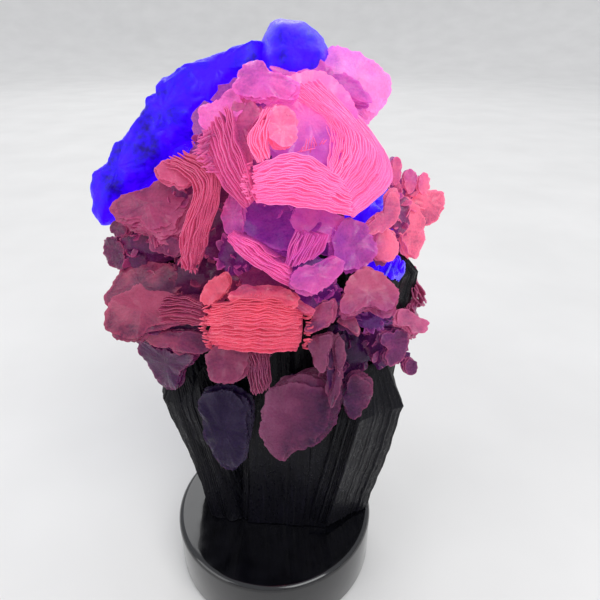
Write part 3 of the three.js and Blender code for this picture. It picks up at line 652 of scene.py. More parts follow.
CRYSTALS["calcite_left_strand"] = [
    ribs(
        rows=[
            [(-9.7, -9, 96.6), (-7, -14, 90), (-2.3, -14, 84)],
            [(-4.5, -11, 101.5), (-2.5, -16, 94.6), (0.2, -16, 86.4)],
        ],
        root=[(-4, -5, 95), (-2, -6, 91), (0, -7, 87)],
    ),
    needles(
        [seen(210, 133, -12), seen(204, 150, -13), seen(213, 172, -15)], way=(-1, -0.5, -0.1), count=30,
        long=1.5, wide=0.22,
    ),
    leaf(at=(-3.2, -9.6, 95.4), face=(-10, 28), thick=0.8, outline=[
        (222, 102), (238, 90), (256, 94), (266, 108), (258, 126), (250, 146), (253, 168), (243, 174),
        (234, 152), (226, 128),
    ]),
    lump(at=seen(204, 160, -6), size=(3, 2.5, 4.5), violet=0.6),
    lump(at=seen(246, 140, -6), size=(4, 2.5, 7)),
]

CRYSTALS["calcite_crown"] = [
    *rosette((-2, 2, 95), [
        dict(at=(-2.6, -7, 102.2), face=(-8, 32), roll=12, cup=-1, thick=2, violet=(0.25, 0, 0.2), outline=[
            (232, 76), (240, 63), (250, 57), (262, 58), (276, 68), (292, 73), (303, 86), (296, 99),
            (274, 104), (250, 104), (232, 95),
        ]),
        dict(at=(-8.6, -6, 97.6), face=(-28, 26), cup=-0.8, thick=1.8, outline=[
            (196, 116), (204, 103), (215, 101), (225, 89), (237, 84), (249, 94), (250, 116), (240, 134),
            (222, 142), (205, 134),
        ]),
        dict(at=(8, 1.6, 101.6), face=(5, 34), roll=-12, cup=0.8, thick=2, violet=(0.45, 0, 0.1), outline=[
            (264, 70), (290, 71), (300, 60), (312, 53), (326, 60), (346, 72), (366, 90), (374, 108),
            (356, 106), (330, 94), (300, 88), (275, 82),
        ]),
    ]),
]

CRYSTALS["calcite_upper_right_petal"] = rosette((12, 8, 96), [
    dict(at=(16.6, 3.4, 103.6), face=(14, 26), roll=-30, cup=-0.8, bend=-1.2, deep=4.5, slide=(-1.2, -1.8),
         turn=7, violet=(0.3, -0.5, 0), outline=[
        (305, 67), (312, 54), (321, 47), (330, 38), (339, 40), (350, 45), (358, 45), (367, 54), (380, 61),
        (391, 68), (398, 78), (397, 90), (395, 98), (390, 108), (383, 116), (374, 119), (355, 108),
        (335, 94), (315, 80),
    ]),
])

# Calcite at the left and across the middle

CRYSTALS["calcite_left_strap"] = [
    ribs(
        rows=[
            [(-18.3, -7, 90.7), (-11, -13, 88.3), (-14.3, -14, 78), (-14, -13, 73)],
            [(-15.6, -8, 92.6), (-8.3, -15, 89.7), (-11, -17, 80.3), (-12.7, -14.5, 73)],
            [(-14, -6, 92.8), (-6.3, -12, 90.2), (-8.6, -14, 80.5), (-11.6, -12, 73)],
        ],
        root=[(-12, -3, 89), (-8, -7, 87), (-9.5, -8, 80), (-11, -8, 74)],
    ),
    leaf(at=(-14, -10, 88.4), face=(-10, 40), thick=0.8, outline=[
        (150, 170), (159, 160), (176, 155), (193, 163), (198, 178), (187, 191), (170, 187), (157, 181),
    ]),
    lump(at=(-9, -5, 80), size=(7, 5, 10), dim=0.15),
    lump(at=seen(184, 190, -6), size=(3, 2.5, 3.5), dim=0.15),
    needles([seen(180, 262, -13), seen(196, 269, -13)], way=(0.1, -0.2, -1), count=14, long=1.2),
]

CRYSTALS["calcite_left_plate"] = [
    *rosette((-20, -1, 77), [
        dict(at=(-20.6, -7, 83), face=(-16, 34), roll=10, cup=-1, deep=2.6, slide=(1, -2), turn=-10,
             dim=(0.1, -0.2, 0.1), outline=[
            (104, 208), (111, 196), (130, 189), (146, 183), (162, 174), (184, 172), (196, 186), (190, 204),
            (180, 218), (172, 230), (160, 237), (146, 233), (134, 226), (118, 223), (106, 217),
        ]),
        dict(at=(-27, -4.6, 77.8), face=(-20, 20), dim=(0.45, 0, 0), outline=[
            (110, 224), (118, 218), (129, 224), (132, 234), (122, 239), (112, 234),
        ]),
        dict(at=(-27.6, -2.5, 73.5), face=(-35, 15), dim=(0.55, 0, 0), outline=[
            (101, 240), (112, 233), (125, 240), (131, 254), (127, 273), (115, 272), (105, 256),
        ]),
        dict(at=(-18, -8, 77), face=(-8, 8), thick=2, dim=(0.35, 0, 0), violet=(0.2, 0, 0), outline=[
            (148, 234), (165, 228), (182, 234), (187, 246), (180, 258), (164, 255), (150, 250),
        ]),
    ]),
    lump(at=(-22, -1, 76), size=(8, 5.5, 8), dim=0.15),
    lump(at=seen(138, 258, -2), size=(5, 3, 4), dim=0.15),
    needles([seen(150, 240, -9), seen(186, 248, -9)], way=(0, -0.3, -1), count=20, long=1.2),
]

CRYSTALS["calcite_middle_fan"] = [
    ribs(
        rows=[
            [(-9.8, -18, 68.5), (0, -24, 73.2), (7.4, -19, 69.4)],
            [(-10.7, -19, 65), (0, -27, 69.8), (7.6, -20, 65.6)],
            [(-10, -16, 59), (-0.4, -24, 63), (7.2, -17, 58.8)],
        ],
        root=[(-8, -8, 64), (0, -8, 65), (7, -8, 64)],
    ),
    *rosette((-2, -9, 66), [
        dict(at=(-8.5, -16, 71), face=(-10, 26), roll=-25, outline=[
            (199, 302), (203, 286), (216, 272), (228, 270), (234, 280), (228, 296), (214, 307), (204, 309),
        ]),
        dict(at=(0.5, -18, 73.6), face=(4, 50), dim=(0.15, 0, 0.3), violet=(0.2, 0, 0.5), outline=[
            (222, 300), (234, 290), (262, 283), (290, 288), (306, 301), (298, 310), (262, 309), (234, 311),
        ]),
    ]),
    leaf(at=(4.5, -18, 72), face=(10, 40), thick=0.8, violet=(0.5, 0, 0), outline=[
        (262, 292), (276, 288), (292, 294), (308, 305), (319, 314), (309, 317), (292, 307), (274, 301),
    ]),
    lump(at=(0, -9, 68), size=(10, 5, 6.5), dim=0.15, violet=0.6),
    needles([seen(207, 308, -18), seen(204, 328, -19), seen(210, 348, -17)], way=(-1, -0.3, 0.2), count=22),
    needles([seen(306, 310, -19), seen(309, 328, -20), seen(305, 348, -17)], way=(1, -0.2, 0.2), count=22),
    needles([seen(232, 303, -21), seen(270, 300, -21)], way=(0, 0, 1), count=18, long=1.2, loose=0.1),
]

CRYSTALS["calcite_second_bowl"] = [
    ribs(
        rows=[
            [seen(231, 232, -16), seen(252, 240, -20), seen(272, 254, -21), seen(291, 268, -20.5)],
            [seen(226, 234, -16.5), seen(242, 248, -21.5), seen(264, 264, -22.5), seen(295, 281, -21)],
            [seen(225, 236, -15), seen(240, 255, -20), seen(264, 273, -21), seen(300, 292, -19.5)],
        ],
        root=[(-4, -9, 80), (0, -11, 78), (3, -12, 76), (6, -13, 75)],
        relief=0.7, dim=0.1,
    ),
    ribs(
        rows=[
            [seen(296, 229, -17), seen(287, 250, -19), seen(284, 270, -20)],
            [seen(312, 232, -18.5), seen(302, 252, -20), seen(292, 268, -20.5)],
            [seen(330, 232, -17), seen(324, 248, -19), seen(312, 260, -20)],
        ],
        root=[(6, -9, 80), (6, -10, 78), (6, -11, 76)],
        relief=0.6, violet=0.5,
    ),
    leaf(at=(-7.4, -13, 81.6), face=(-16, 22), dim=(0.15, 0, 0), violet=(0.4, 0.2, -0.2), outline=[
        (225, 200), (236, 190), (246, 198), (249, 220), (245, 236), (230, 238), (223, 228), (222, 212),
    ]),
    *rosette((6, -9, 77), [
        dict(at=(8.6, -20.6, 76), face=(6, 30), roll=12, cup=-0.8, thick=1.6, dim=(0.2, -0.1, 0.15),
             violet=(0.5, 0, 0.1), outline=[
            (282, 282), (290, 270), (305, 261), (322, 257), (337, 254), (347, 261), (345, 274), (338, 285),
            (326, 293), (312, 299), (298, 295), (286, 290),
        ]),
        dict(at=(3.4, -13.6, 80.6), face=(0, 48), roll=18, cup=1, thick=1.6, dim=(0.35, 0, 0),
             violet=(1.1, 0, 0), outline=[
            (234, 208), (262, 203), (290, 206), (318, 212), (328, 228), (314, 247), (290, 260), (264, 252),
            (244, 238), (232, 222),
        ]),
        dict(at=(10, -13, 82), face=(20, 30), roll=30, dim=(-0.4, 0, 0), violet=(0.7, 0, 0), outline=[
            (288, 206), (310, 199), (333, 208), (348, 222), (340, 241), (318, 247), (298, 239), (286, 222),
        ]),
        dict(at=(15.3, -12.6, 78.4), face=(24, 24), cup=0.8, thick=2, dim=(0.1, 0, 0),
             violet=(0.8, -0.2, 0), outline=[
            (326, 226), (345, 214), (363, 221), (374, 240), (371, 262), (353, 277), (333, 271), (324, 248),
        ]),
    ]),
    lump(at=seen(282, 210, -9), size=(8, 4, 4), violet=0.8),
    lump(at=seen(318, 294, -12), size=(5, 3, 4), dim=0.25, violet=0.7),
    lump(at=seen(238, 254, -10), size=(4, 3, 5), dim=0.25),
]

# Calcite at the right and low in front

CRYSTALS["calcite_right_disc"] = rosette((16.5, -9, 66), [
    dict(at=(18.2, -17, 71), face=(8, 34), cup=1, deep=1.2, slide=(0.4, -0.8), dim=(0.02, 0, -0.12),
         violet=(0.2, 0, -0.6), outline=[
        (335, 316), (337, 300), (340, 284), (348, 272), (357, 265), (368, 263), (381, 268), (391, 277),
        (400, 293), (398, 303), (393, 313), (384, 316), (371, 311), (358, 312), (346, 317),
    ]),
    dict(at=(11, -19, 67.8), face=(-24, 22), roll=25, cup=0.6, dim=(0.05, -0.3, 0), violet=(0.2, 0.3, -0.2),
         outline=[
        (338, 297), (326, 299), (316, 305), (309, 320), (306, 332), (318, 334), (330, 328), (339, 318),
        (339, 307),
    ]),
    dict(at=(15, -17.5, 64.4), face=(-10, 40), roll=-30, dim=(0.35, 0, 0), outline=[
        (335, 320), (345, 316), (354, 315), (359, 322), (362, 331), (359, 338), (350, 332), (341, 326),
    ]),
])

CRYSTALS["calcite_right_petal"] = [
    *rosette((24, -4, 55), [
        dict(at=(27.6, -9.6, 60.8), face=(20, 34), roll=-14, cup=0.5, thick=1.8, outline=[
            (391, 311), (400, 307), (412, 310), (421, 316), (428, 325), (428, 333), (410, 337), (404, 331),
            (391, 325),
        ]),
        dict(at=(25, -10.6, 55.6), face=(14, 16), roll=8, thick=1.8, dim=(0.75, 0, 0),
             violet=(0.1, -0.1, 0.2), outline=[
            (391, 325), (408, 328), (411, 342), (407, 355), (399, 366), (388, 369), (380, 360), (383, 350),
            (375, 340), (378, 331),
        ]),
        dict(at=(29.8, -5.6, 47.6), face=(24, 14), dim=(0.6, 0, 0), outline=[
            (402, 361), (409, 356), (417, 361), (416, 371), (408, 377), (402, 371),
        ]),
    ]),
    lump(at=(24, -5, 54), size=(5, 4.5, 8), dim=0.4),
    lump(at=seen(370, 320, -15), size=(3.6, 1.8, 2), dim=0.15, violet=1.2),
    lump(at=seen(384, 318, -14), size=(2, 1.6, 1.8), dim=0.9, violet=0.6),
]

CRYSTALS["calcite_leaf_blades"] = [
    *rosette((14, -8, 53), [
        dict(at=(10.2, -17.6, 58.6), face=(-20, 12), roll=12, outline=[
            (307, 336), (320, 331), (332, 329), (335, 340), (332, 355), (329, 369), (323, 375), (316, 371),
            (310, 358), (306, 346),
        ]),
        dict(at=(13.2, -18, 53.5), face=(18, 10), thick=1, dim=(0.15, -0.3, -0.15), outline=[
            (336, 328), (343, 338), (346, 360), (343, 383), (337, 399), (330, 412), (329, 400), (333, 385),
            (334, 360), (332, 340),
        ]),
        dict(at=(18.2, -13.6, 45.8), face=(6, 12), roll=8, thick=1.8, dim=(0.55, -0.35, 0),
             violet=(0.1, -0.2, 0), outline=[
            (345, 376), (353, 369), (364, 370), (375, 378), (375, 391), (372, 402), (364, 410), (360, 421),
            (348, 421), (342, 412), (337, 397), (342, 385),
        ]),
    ]),
    leaf(at=(12.4, -16.6, 55), face=(-30, 10), thick=0.8, dim=(0.5, 0, 0), outline=[
        (327, 342), (333, 336), (336, 355), (335, 385), (331, 400), (326, 392), (327, 368),
    ]),
    lump(at=(15.5, -9, 53), size=(6, 4.5, 7), dim=0.5),
]

CRYSTALS["calcite_hanging_blade"] = rosette((5, -9, 47), [
    dict(at=(5, -18, 43), face=(-8, 12), roll=-6, cup=-1.4, deep=2.6, slide=(1.6, 0.5), turn=-6,
         dim=(0.1, 0.55, -0.15), violet=(0, 0.2, 0), outline=[
        (262, 391), (275, 383), (300, 373), (318, 377), (333, 389), (335, 410), (331, 432), (319, 448),
        (305, 455), (290, 458), (282, 465), (270, 459), (262, 450), (257, 437), (255, 425), (257, 413),
    ]),
])

CRYSTALS["calcite_lower_leaf"] = [
    *rosette((-4, -9, 57), [
        dict(at=(-6.9, -19.6, 56.8), face=(-10, 30), roll=8, thick=1.6, outline=[
            (200, 367), (202, 353), (214, 342), (232, 338), (248, 342), (254, 358), (250, 376), (240, 385),
            (228, 388), (216, 387), (206, 381),
        ]),
    ]),
    ribs(
        rows=[
            [seen(243, 350, -18), seen(247, 372, -19), seen(252, 396, -17)],
            [seen(256, 350, -20), seen(259, 372, -21), seen(262, 395, -19)],
            [seen(270, 352, -18), seen(271, 372, -19), seen(270, 390, -17)],
        ],
        root=[(-0.5, -10, 60), (-0.5, -10, 56), (0, -10, 52)],
        dim=0.05, violet=0.1,
    ),
    lump(at=(-3, -10, 56), size=(5, 4, 5), dim=0.4),
]

CRYSTALS["calcite_lower_left_blade"] = [
    *rosette((-17, -1, 60), [
        dict(at=(-22.6, -10.4, 63), face=(-12, 42), roll=-8, cup=-1.6, thick=1.8, dim=(0.15, 0, -0.55),
             violet=(0, 0.25, -0.1), outline=[
            (99, 305), (106, 296), (122, 287), (140, 280), (158, 278), (175, 283), (190, 298), (197, 311),
            (190, 323), (170, 329), (150, 335), (138, 343), (117, 343), (107, 338), (101, 329), (98, 316),
        ]),
        dict(at=(-25, -5, 67.4), face=(-22, 36), roll=16, cup=-1, thick=1.6, dim=(0.3, 0.1, -0.3),
             violet=(0.15, 0, 0), outline=[
            (98, 304), (106, 288), (117, 272), (136, 261), (165, 259), (180, 267), (186, 282), (176, 300),
            (150, 306), (118, 312),
        ]),
        dict(at=(-17.6, -11, 58.6), face=(-10, 20), roll=-6, cup=-1, thick=2, dim=(0.4, 0.1, 0.2),
             violet=(0.3, 0.2, 0), outline=[
            (138, 338), (160, 329), (190, 327), (212, 334), (221, 346), (208, 354), (196, 357), (178, 357),
            (168, 351), (150, 348),
        ]),
        dict(at=(-21, -7, 53), face=(-30, -4), roll=10, thick=1.8, dim=(0.75, 0, -0.1), violet=(0.6, 0, 0),
             outline=[
            (135, 338), (150, 340), (168, 346), (188, 351), (200, 352), (196, 362), (186, 373), (179, 390),
            (168, 390), (156, 377), (145, 360),
        ]),
    ]),
    lump(at=(-13, -5, 68), size=(7, 5, 6), dim=0.2),
    lump(at=seen(164, 350, -3), size=(4, 2.5, 3), dim=0.3, violet=0.6),
    ribs(
        rows=[
            [seen(158, 298, -12.5), seen(178, 296, -12), seen(204, 304, -15)],
            [seen(156, 310, -13.5), seen(180, 309, -13), seen(206, 314, -16)],
            [seen(158, 326, -13), seen(182, 325, -13), seen(208, 330, -16)],
        ],
        root=[(-18, -4, 63), (-13, -4, 64), (-9, -6, 65)],
        dim=0.15, violet=0.15,
    ),
]

CRYSTALS["calcite_dark_blade"] = rosette((-8, -2, 42), [
    dict(at=(-9.6, -12.4, 36), face=(-14, 6), roll=-6, cup=-1, thick=2.4, dim=(0.1, -0.1, -0.1), outline=[
        (196, 394), (210, 386), (235, 388), (250, 398), (254, 420), (251, 446), (244, 467), (232, 475),
        (217, 463), (205, 442), (197, 415),
    ]),
])

CRYSTALS["calcite_right_back_petals"] = [
    *rosette((26, 8, 77), [
        dict(at=(26, 9, 85.4), face=(6, 16), roll=8, violet=(0.45, 0, 0), outline=[
            (389, 177), (391, 160), (396, 155), (402, 160), (402, 179), (395, 188),
        ]),
        dict(at=(29.2, 10, 83.2), face=(12, 20), roll=-12, violet=(0.6, 0, 0.2), outline=[
            (401, 188), (403, 171), (410, 168), (417, 174), (415, 190), (408, 196),
        ]),
        dict(at=(32, 11, 81.6), face=(20, 20), roll=-24, violet=(0.35, -0.2, 0), outline=[
            (415, 192), (417, 176), (424, 171), (430, 178), (428, 192), (420, 198),
        ]),
        dict(at=(33.4, 10, 77), face=(16, 24), roll=-28, cup=-0.6, thick=1.8, dim=(0.05, 0.1, -0.2),
             outline=[
            (404, 202), (414, 190), (430, 186), (444, 189), (449, 198), (445, 213), (434, 225), (419, 229),
            (407, 219),
        ]),
        dict(at=(29, 6, 73.6), face=(34, 14), roll=-10, thick=2, dim=(0.1, -0.1, 0), outline=[
            (389, 200), (400, 192), (414, 200), (424, 218), (424, 240), (420, 256), (412, 262), (404, 255),
            (397, 240), (388, 222),
        ]),
        dict(at=(22, -7.5, 74), face=(18, 20), cup=-0.6, thick=1.8, violet=(0.2, -0.7, 0.1), outline=[
            (369, 241), (378, 227), (392, 225), (401, 238), (401, 254), (391, 265), (376, 263), (368, 252),
        ]),
    ]),
    leaf(at=(20.5, -9.2, 79.6), face=(22, 18), thick=1, dim=(0.25, 0, 0), violet=(0.35, -0.2, 0), outline=[
        (386, 190), (396, 184), (402, 200), (399, 222), (386, 232), (368, 238), (357, 236), (365, 223),
        (376, 210), (386, 203),
    ]),
    lump(at=(25, 7, 76), size=(5.4, 6.5, 7), dim=0.2),
]

# Calcite on the back and the right side, which the photograph doesn't show

CRYSTALS["calcite_back_rosette"] = rosette((9, 14, 73), [
    dict(at=(9, 21, 77), face=(172, 24), size=(9.5, 8), roll=14, cup=1.6, deep=3, slide=(1, -2), turn=12),
    dict(at=(18, 19, 69), face=(146, 10), size=(6, 7), roll=-20, cup=-1, thick=2),
    dict(at=(1, 23, 69), face=(190, 34), size=(6.4, 4.6), roll=6, cup=-1, thick=2),
    dict(at=(9, 20, 66), face=(172, 0), size=(6, 5), roll=6, thick=2),
])

CRYSTALS["calcite_back_blades"] = rosette((-9, 13, 50), [
    dict(at=(-15, 20, 53), face=(206, 16), size=(7.4, 6), roll=10, cup=-1.2, thick=2),
    dict(at=(-6, 24, 45), face=(186, 10), size=(5, 6.4), roll=-16, cup=-0.8, thick=2),
])

CRYSTALS["calcite_right_side_rosette"] = rosette((25, 7, 56), [
    dict(at=(32.6, 10, 58), face=(88, 22), size=(6.6, 5.6), roll=12, cup=1.2, thick=2),
    dict(at=(31.6, 5, 52), face=(72, 8), size=(5, 6), roll=-12, thick=2),
    dict(at=(29, 8, 50), face=(100, -6), size=(5, 7), thick=2),
])

# Fluorite

CRYSTALS["fluorite_lobe"] = [
    pebble(at=(6.5, 7.4, 104), face=(0, 20), thick=12, dents=0.12, outline=[
        (261, 47), (267, 33), (272, 25), (288, 24), (303, 25), (317, 34), (325, 44), (331, 62), (322, 84),
        (300, 92), (278, 88), (262, 74),
    ]),
    block(at=(-0.8, 8, 101.4), size=(8, 9, 8.4), turn=(-6, -12, 8)),
    lump(at=(9.4, 8.4, 101), size=(4, 4, 4.6)),
]

CRYSTALS["fluorite_crust"] = [
    pebble(at=(-5.6, 4.5, 100), face=(-6, 26), thick=9, outline=[
        (264, 44), (251, 48), (239, 50), (232, 56), (215, 61), (194, 67), (180, 74), (180, 92), (194, 110),
        (210, 114), (228, 100), (246, 82), (264, 72),
    ]),
    pebble(at=(-14.5, 3.6, 95), face=(-14, 20), thick=10, outline=[
        (200, 65), (180, 74), (165, 85), (163, 94), (153, 99), (151, 110), (144, 122), (134, 136),
        (142, 154), (162, 158), (184, 146), (200, 128), (214, 104), (214, 80),
    ]),
    pebble(at=(-23.5, 1.6, 85.4), face=(-18, 16), thick=10, outline=[
        (156, 108), (144, 122), (134, 136), (122, 146), (120, 158), (106, 170), (97, 182), (98, 198),
        (100, 217), (107, 226), (118, 214), (128, 198), (146, 182), (162, 166), (176, 148), (174, 126),
    ]),
    block(at=(-5.6, 7, 99.4), size=(9.5, 10, 8.6), turn=(6, -20, 10)),
    block(at=(-13, 7.4, 97), size=(11, 10, 9), turn=(-4, -34, 10)),
    block(at=(-19, 5.6, 90.6), size=(8.6, 10, 9.6), turn=(4, -38, 6)),
    block(at=(-26, 4.6, 81), size=(7.6, 8, 9), turn=(8, -24, 12)),
    block(at=(-19, 10.6, 84), size=(12, 10, 12), turn=(4, -24, 20)),
    block(at=(-12, 12.6, 90), size=(12, 10, 12), turn=(-8, -20, -12)),
    block(at=(-23, 8, 73), size=(11, 11, 12), turn=(6, 10, 16)),
]

CRYSTALS["fluorite_back"] = [
    block(at=(-1, 16, 91), size=(12, 9, 11), turn=(10, 8, -14)),
    block(at=(9, 15, 92), size=(10, 9, 10), turn=(6, -16, 22)),
    block(at=(-7, 17.5, 81), size=(11, 8, 11), turn=(-6, 14, 10)),
    block(at=(-16, 15, 71), size=(10, 9, 10), turn=(12, -8, -22)),
]

CRYSTALS["fluorite_window"] = [
    block(at=(20, 3.4, 81.6), size=(5.4, 8, 8), turn=(10, 14, 20)),
    block(at=(18.4, -2.6, 79.4), size=(4.4, 8, 7), turn=(-8, 24, 12)),
    block(at=(25, 3, 66), size=(5, 7, 6), turn=(12, 30, 16)),
    lump(at=(22, 3.6, 70), size=(5, 5.5, 10)),
    needles(
        [seen(384, 272, -1), seen(403, 268, -1)], way=(0, -0.3, 1), count=8, long=2.6, wide=0.5, loose=0.2,
    ),
]


# Materials

def tint(red, green, blue):
    """A colour given as a screen shows it, from 0 to 255, as the shader's linear one."""
    shares = np.array([red, green, blue]) / 255
    linear = np.where(shares <= 0.04045, shares / 12.92, ((shares + 0.055) / 1.055) ** 2.4)
    return (*linear.tolist(), 1.0)


def new_material(name):
    """A material with its node tree and its shader."""
    finish = bpy.data.materials.new(name)
    finish.use_nodes = True
    return finish, finish.node_tree, finish.node_tree.nodes["Principled BSDF"]


def make(tree, kind, inputs=None, **settings):
    """A shader node with its inputs' values and its settings."""
    made = tree.nodes.new("ShaderNode" + kind)
    for key, value in settings.items():
        setattr(made, key, value)
    for key, value in (inputs or {}).items():
        if isinstance(value, bpy.types.NodeSocket):
            tree.links.new(value, made.inputs[key])
        else:
            made.inputs[key].default_value = value
    return made


def noise(tree, step, detail=3, stretch=None):
    """Noise with humps about step mm apart, stretched along Z where asked."""
    place = make(tree, "TexCoord").outputs["Object"]
    if stretch:
        place = make(tree, "Mapping", {"Vector": place, "Scale": (1, 1, 1 / stretch)}).outputs["Vector"]
    inputs = {"Vector": place, "Scale": 1 / (step * MM), "Detail": detail}
    return make(tree, "TexNoise", inputs).outputs["Fac"]


def sum_of(tree, *terms):
    """The sum of sockets, each times its weight, where terms are (socket, weight, offset)."""
    total = 0.0
    for socket, weight, offset in terms:
        inputs = {0: socket, 1: weight, 2: offset * weight}
        scaled = make(tree, "Math", inputs, operation="MULTIPLY_ADD").outputs[0]
        total = make(tree, "Math", {0: scaled, 1: total}, operation="ADD").outputs[0]
    return total


def mix(tree, share, first, second, **settings):
    """A colour that is first where share is 0 and second where it is 1."""
    return make(tree, "Mix", {0: share, 6: first, 7: second}, data_type="RGBA", **settings).outputs[2]


def ramp(tree, value, *stops):
    """A colour that changes with value; stops are (place, colour)."""
    made = make(tree, "ValToRGB", {"Fac": value})
    elements = made.color_ramp.elements
    while len(elements) < len(stops):
        elements.new(0.5)
    for element, (place, colour) in zip(elements, stops):
        element.position = place
        element.color = colour
    return made.outputs["Color"]


def spread(tree, value, low, high, least, most):
    """value mapped from low..high to least..most."""
    inputs = {"Value": value, "From Min": low, "From Max": high, "To Min": least, "To Max": most}
    return make(tree, "MapRange", inputs).outputs["Result"]


def bump(tree, shader, height, distance, strength):
    """Relief of that many mm."""
    made = make(tree, "Bump", {"Height": height, "Distance": distance * MM, "Strength": strength})
    tree.links.new(made.outputs["Normal"], shader.inputs["Normal"])


def set_values(shader, values):
    """Sets inputs of the shader that stay constant."""
    for key, value in values.items():
        shader.inputs[key].default_value = value


def calcite(name, shown, glow):
    """Frosted, translucent blades with a painted glow, their fluorescence given as emission: painted shade
    makes them deeper and more violet between them and a painted highlight makes them paler along their
    free rims. shown is the colour that they have with the glow and the studio light together."""
    finish, tree, shader = new_material(name)
    body = shown / (glow + STUDIO_LIGHT)
    # shade and deep are painted shade, the darker and more violet colours between the blades; edge is a
    # painted highlight on their free rims.
    shade, deep = body * (0.1, 0.05, 0.22, 1), body * (0.32, 0.25, 0.5, 1)
    edge = body * 1.3 + (0.02, 0.02, 0.02, 0)
    rim, tone, arcs, violet = (
        make(tree, "Attribute", attribute_name=label).outputs["Fac"]
        for label in ("rim", "tone", "arcs", "violet")
    )
    broad = noise(tree, 3.2)
    grain = noise(tree, 0.4, 4)
    growth = {"W": arcs, "Scale": 1.9, "Detail": 3.0}
    lines = make(tree, "TexNoise", growth, noise_dimensions="1D").outputs["Fac"]
    value = sum_of(
        tree, (rim, 0.62, 0.36), (tone, 0.2, 0), (broad, 0.6, -0.5), (grain, 0.25, -0.5), (lines, 0.14, -0.5),
    )
    colour = ramp(tree, value, (0.0, shade), (0.28, deep), (0.62, body), (1.0, edge))
    # The violet attribute and a noise paint in the lamp's violet light, mostly in hollows and shade.
    share = sum_of(tree, (violet, 1, 0), (noise(tree, 2.4, 2), 0.9, -0.55))
    share = make(tree, "Clamp", {0: share}).outputs[0]
    bluer = mix(tree, 1.0, colour, (0.6, 0.5, 1.0, 1), blend_type="MULTIPLY")
    bluer = mix(tree, 0.3, bluer, body * (0.3, 0.2, 1.2, 1))
    colour = mix(tree, share, colour, bluer)
    tree.links.new(colour, shader.inputs["Base Color"])
    # The emission is a painted glow: the fluorescence under the UV lamp, which no lamp in this scene gives.
    tree.links.new(colour, shader.inputs["Emission Color"])
    tree.links.new(spread(tree, noise(tree, 0.5, 2), 0.32, 0.62, 0.16, 0.42), shader.inputs["Roughness"])
    set_values(shader, {
        "Emission Strength": glow,
        "Subsurface Weight": 0.3,
        "Subsurface Scale": 0.0012,
        "Subsurface Radius": (1.0, 0.35, 0.45),
        "IOR": 1.55,
        "Specular IOR Level": 0.1 + 0.6 * glow,
    })
    bump(tree, shader, sum_of(tree, (grain, 0.5, 0), (lines, 0.5, 0)), 0.12, 0.4)
    return finish


def fluorite(name):
    """Glassy, see-through, with a deep blue painted glow, its fluorescence given as emission, that is uneven
    and has darker patches.
    """
    finish, tree, shader = new_material(name)
    patches = noise(tree, 4.5, 4)
    fine = noise(tree, 0.8, 3)
    value = sum_of(tree, (patches, 1.8, -0.5), (fine, 0.6, -0.5), (0.5, 1, 0))
    # glow is a painted glow, given as emission: no lamp in the scene makes the fluorite shine.
    glow = ramp(tree, value, (0.05, tint(28, 6, 105)), (0.34, tint(40, 0, 215)), (0.7, tint(66, 0, 255)))
    body = ramp(tree, value, (0.1, tint(22, 8, 90)), (0.6, tint(30, 0, 170)))
    tree.links.new(body, shader.inputs["Base Color"])
    tree.links.new(glow, shader.inputs["Emission Color"])
    tree.links.new(spread(tree, fine, 0.3, 0.7, 0.3, 0.55), shader.inputs["Roughness"])
    set_values(shader, {
        "Emission Strength": 0.85,
        "Transmission Weight": 0.22,
        "Specular IOR Level": 0.18,
        "IOR": 1.434,
    })
    depth = make(tree, "VolumeAbsorption", {"Color": tint(70, 50, 255), "Density": 220.0})
    output = tree.nodes["Material Output"]
    tree.links.new(depth.outputs["Volume"], output.inputs["Volume"])
    bump(tree, shader, sum_of(tree, (fine, 1, 0), (noise(tree, 0.25, 3), 0.3, 0)), 0.12, 0.5)
    return finish


def wolframite(name):
    """Black and submetallic, with fine streaks along the crystals and small brighter flakes."""
    finish, tree, shader = new_material(name)
    streaks = noise(tree, 0.55, 5, stretch=12)
    steps = noise(tree, 4, 3, stretch=3)
    flakes = noise(tree, 0.5, 2, stretch=2)
    value = sum_of(tree, (streaks, 0.8, 0), (steps, 0.6, -0.5))
    colour = ramp(tree, value, (0.2, tint(3, 3, 9)), (0.5, tint(8, 7, 16)), (0.8, tint(20, 18, 32)))
    tree.links.new(colour, shader.inputs["Base Color"])
    tree.links.new(spread(tree, flakes, 0.55, 0.68, 0.42, 0.12), shader.inputs["Roughness"])
    set_values(shader, {"IOR": 2.2, "Specular IOR Level": 0.05})
    bump(tree, shader, sum_of(tree, (streaks, 0.8, 0), (steps, 0.6, 0), (flakes, 0.5, 0)), 0.4, 0.7)
    return finish


def gloss_black(name):
    """Polished black plastic with faint wipe marks."""
    finish, tree, shader = new_material(name)
    wipes = noise(tree, 4, 5, stretch=0.3)
    colour = ramp(tree, wipes, (0.3, tint(6, 6, 9)), (0.7, tint(14, 14, 19)))
    tree.links.new(colour, shader.inputs["Base Color"])
    tree.links.new(spread(tree, wipes, 0.3, 0.7, 0.07, 0.2), shader.inputs["Roughness"])
    set_values(shader, {"Coat Weight": 0.5, "Coat Roughness": 0.05, "IOR": 1.49})
    bump(tree, shader, noise(tree, 0.5, 2), 0.004, 0.2)
    return finish


def pale_floor(name):
    """Plain, pale and matt."""
    finish, tree, shader = new_material(name)
    colour = ramp(tree, noise(tree, 60), (0.3, tint(226, 225, 223)), (0.7, tint(232, 231, 229)))
    tree.links.new(colour, shader.inputs["Base Color"])
    set_values(shader, {"Roughness": 0.75, "Specular IOR Level": 0.2})
    return finish


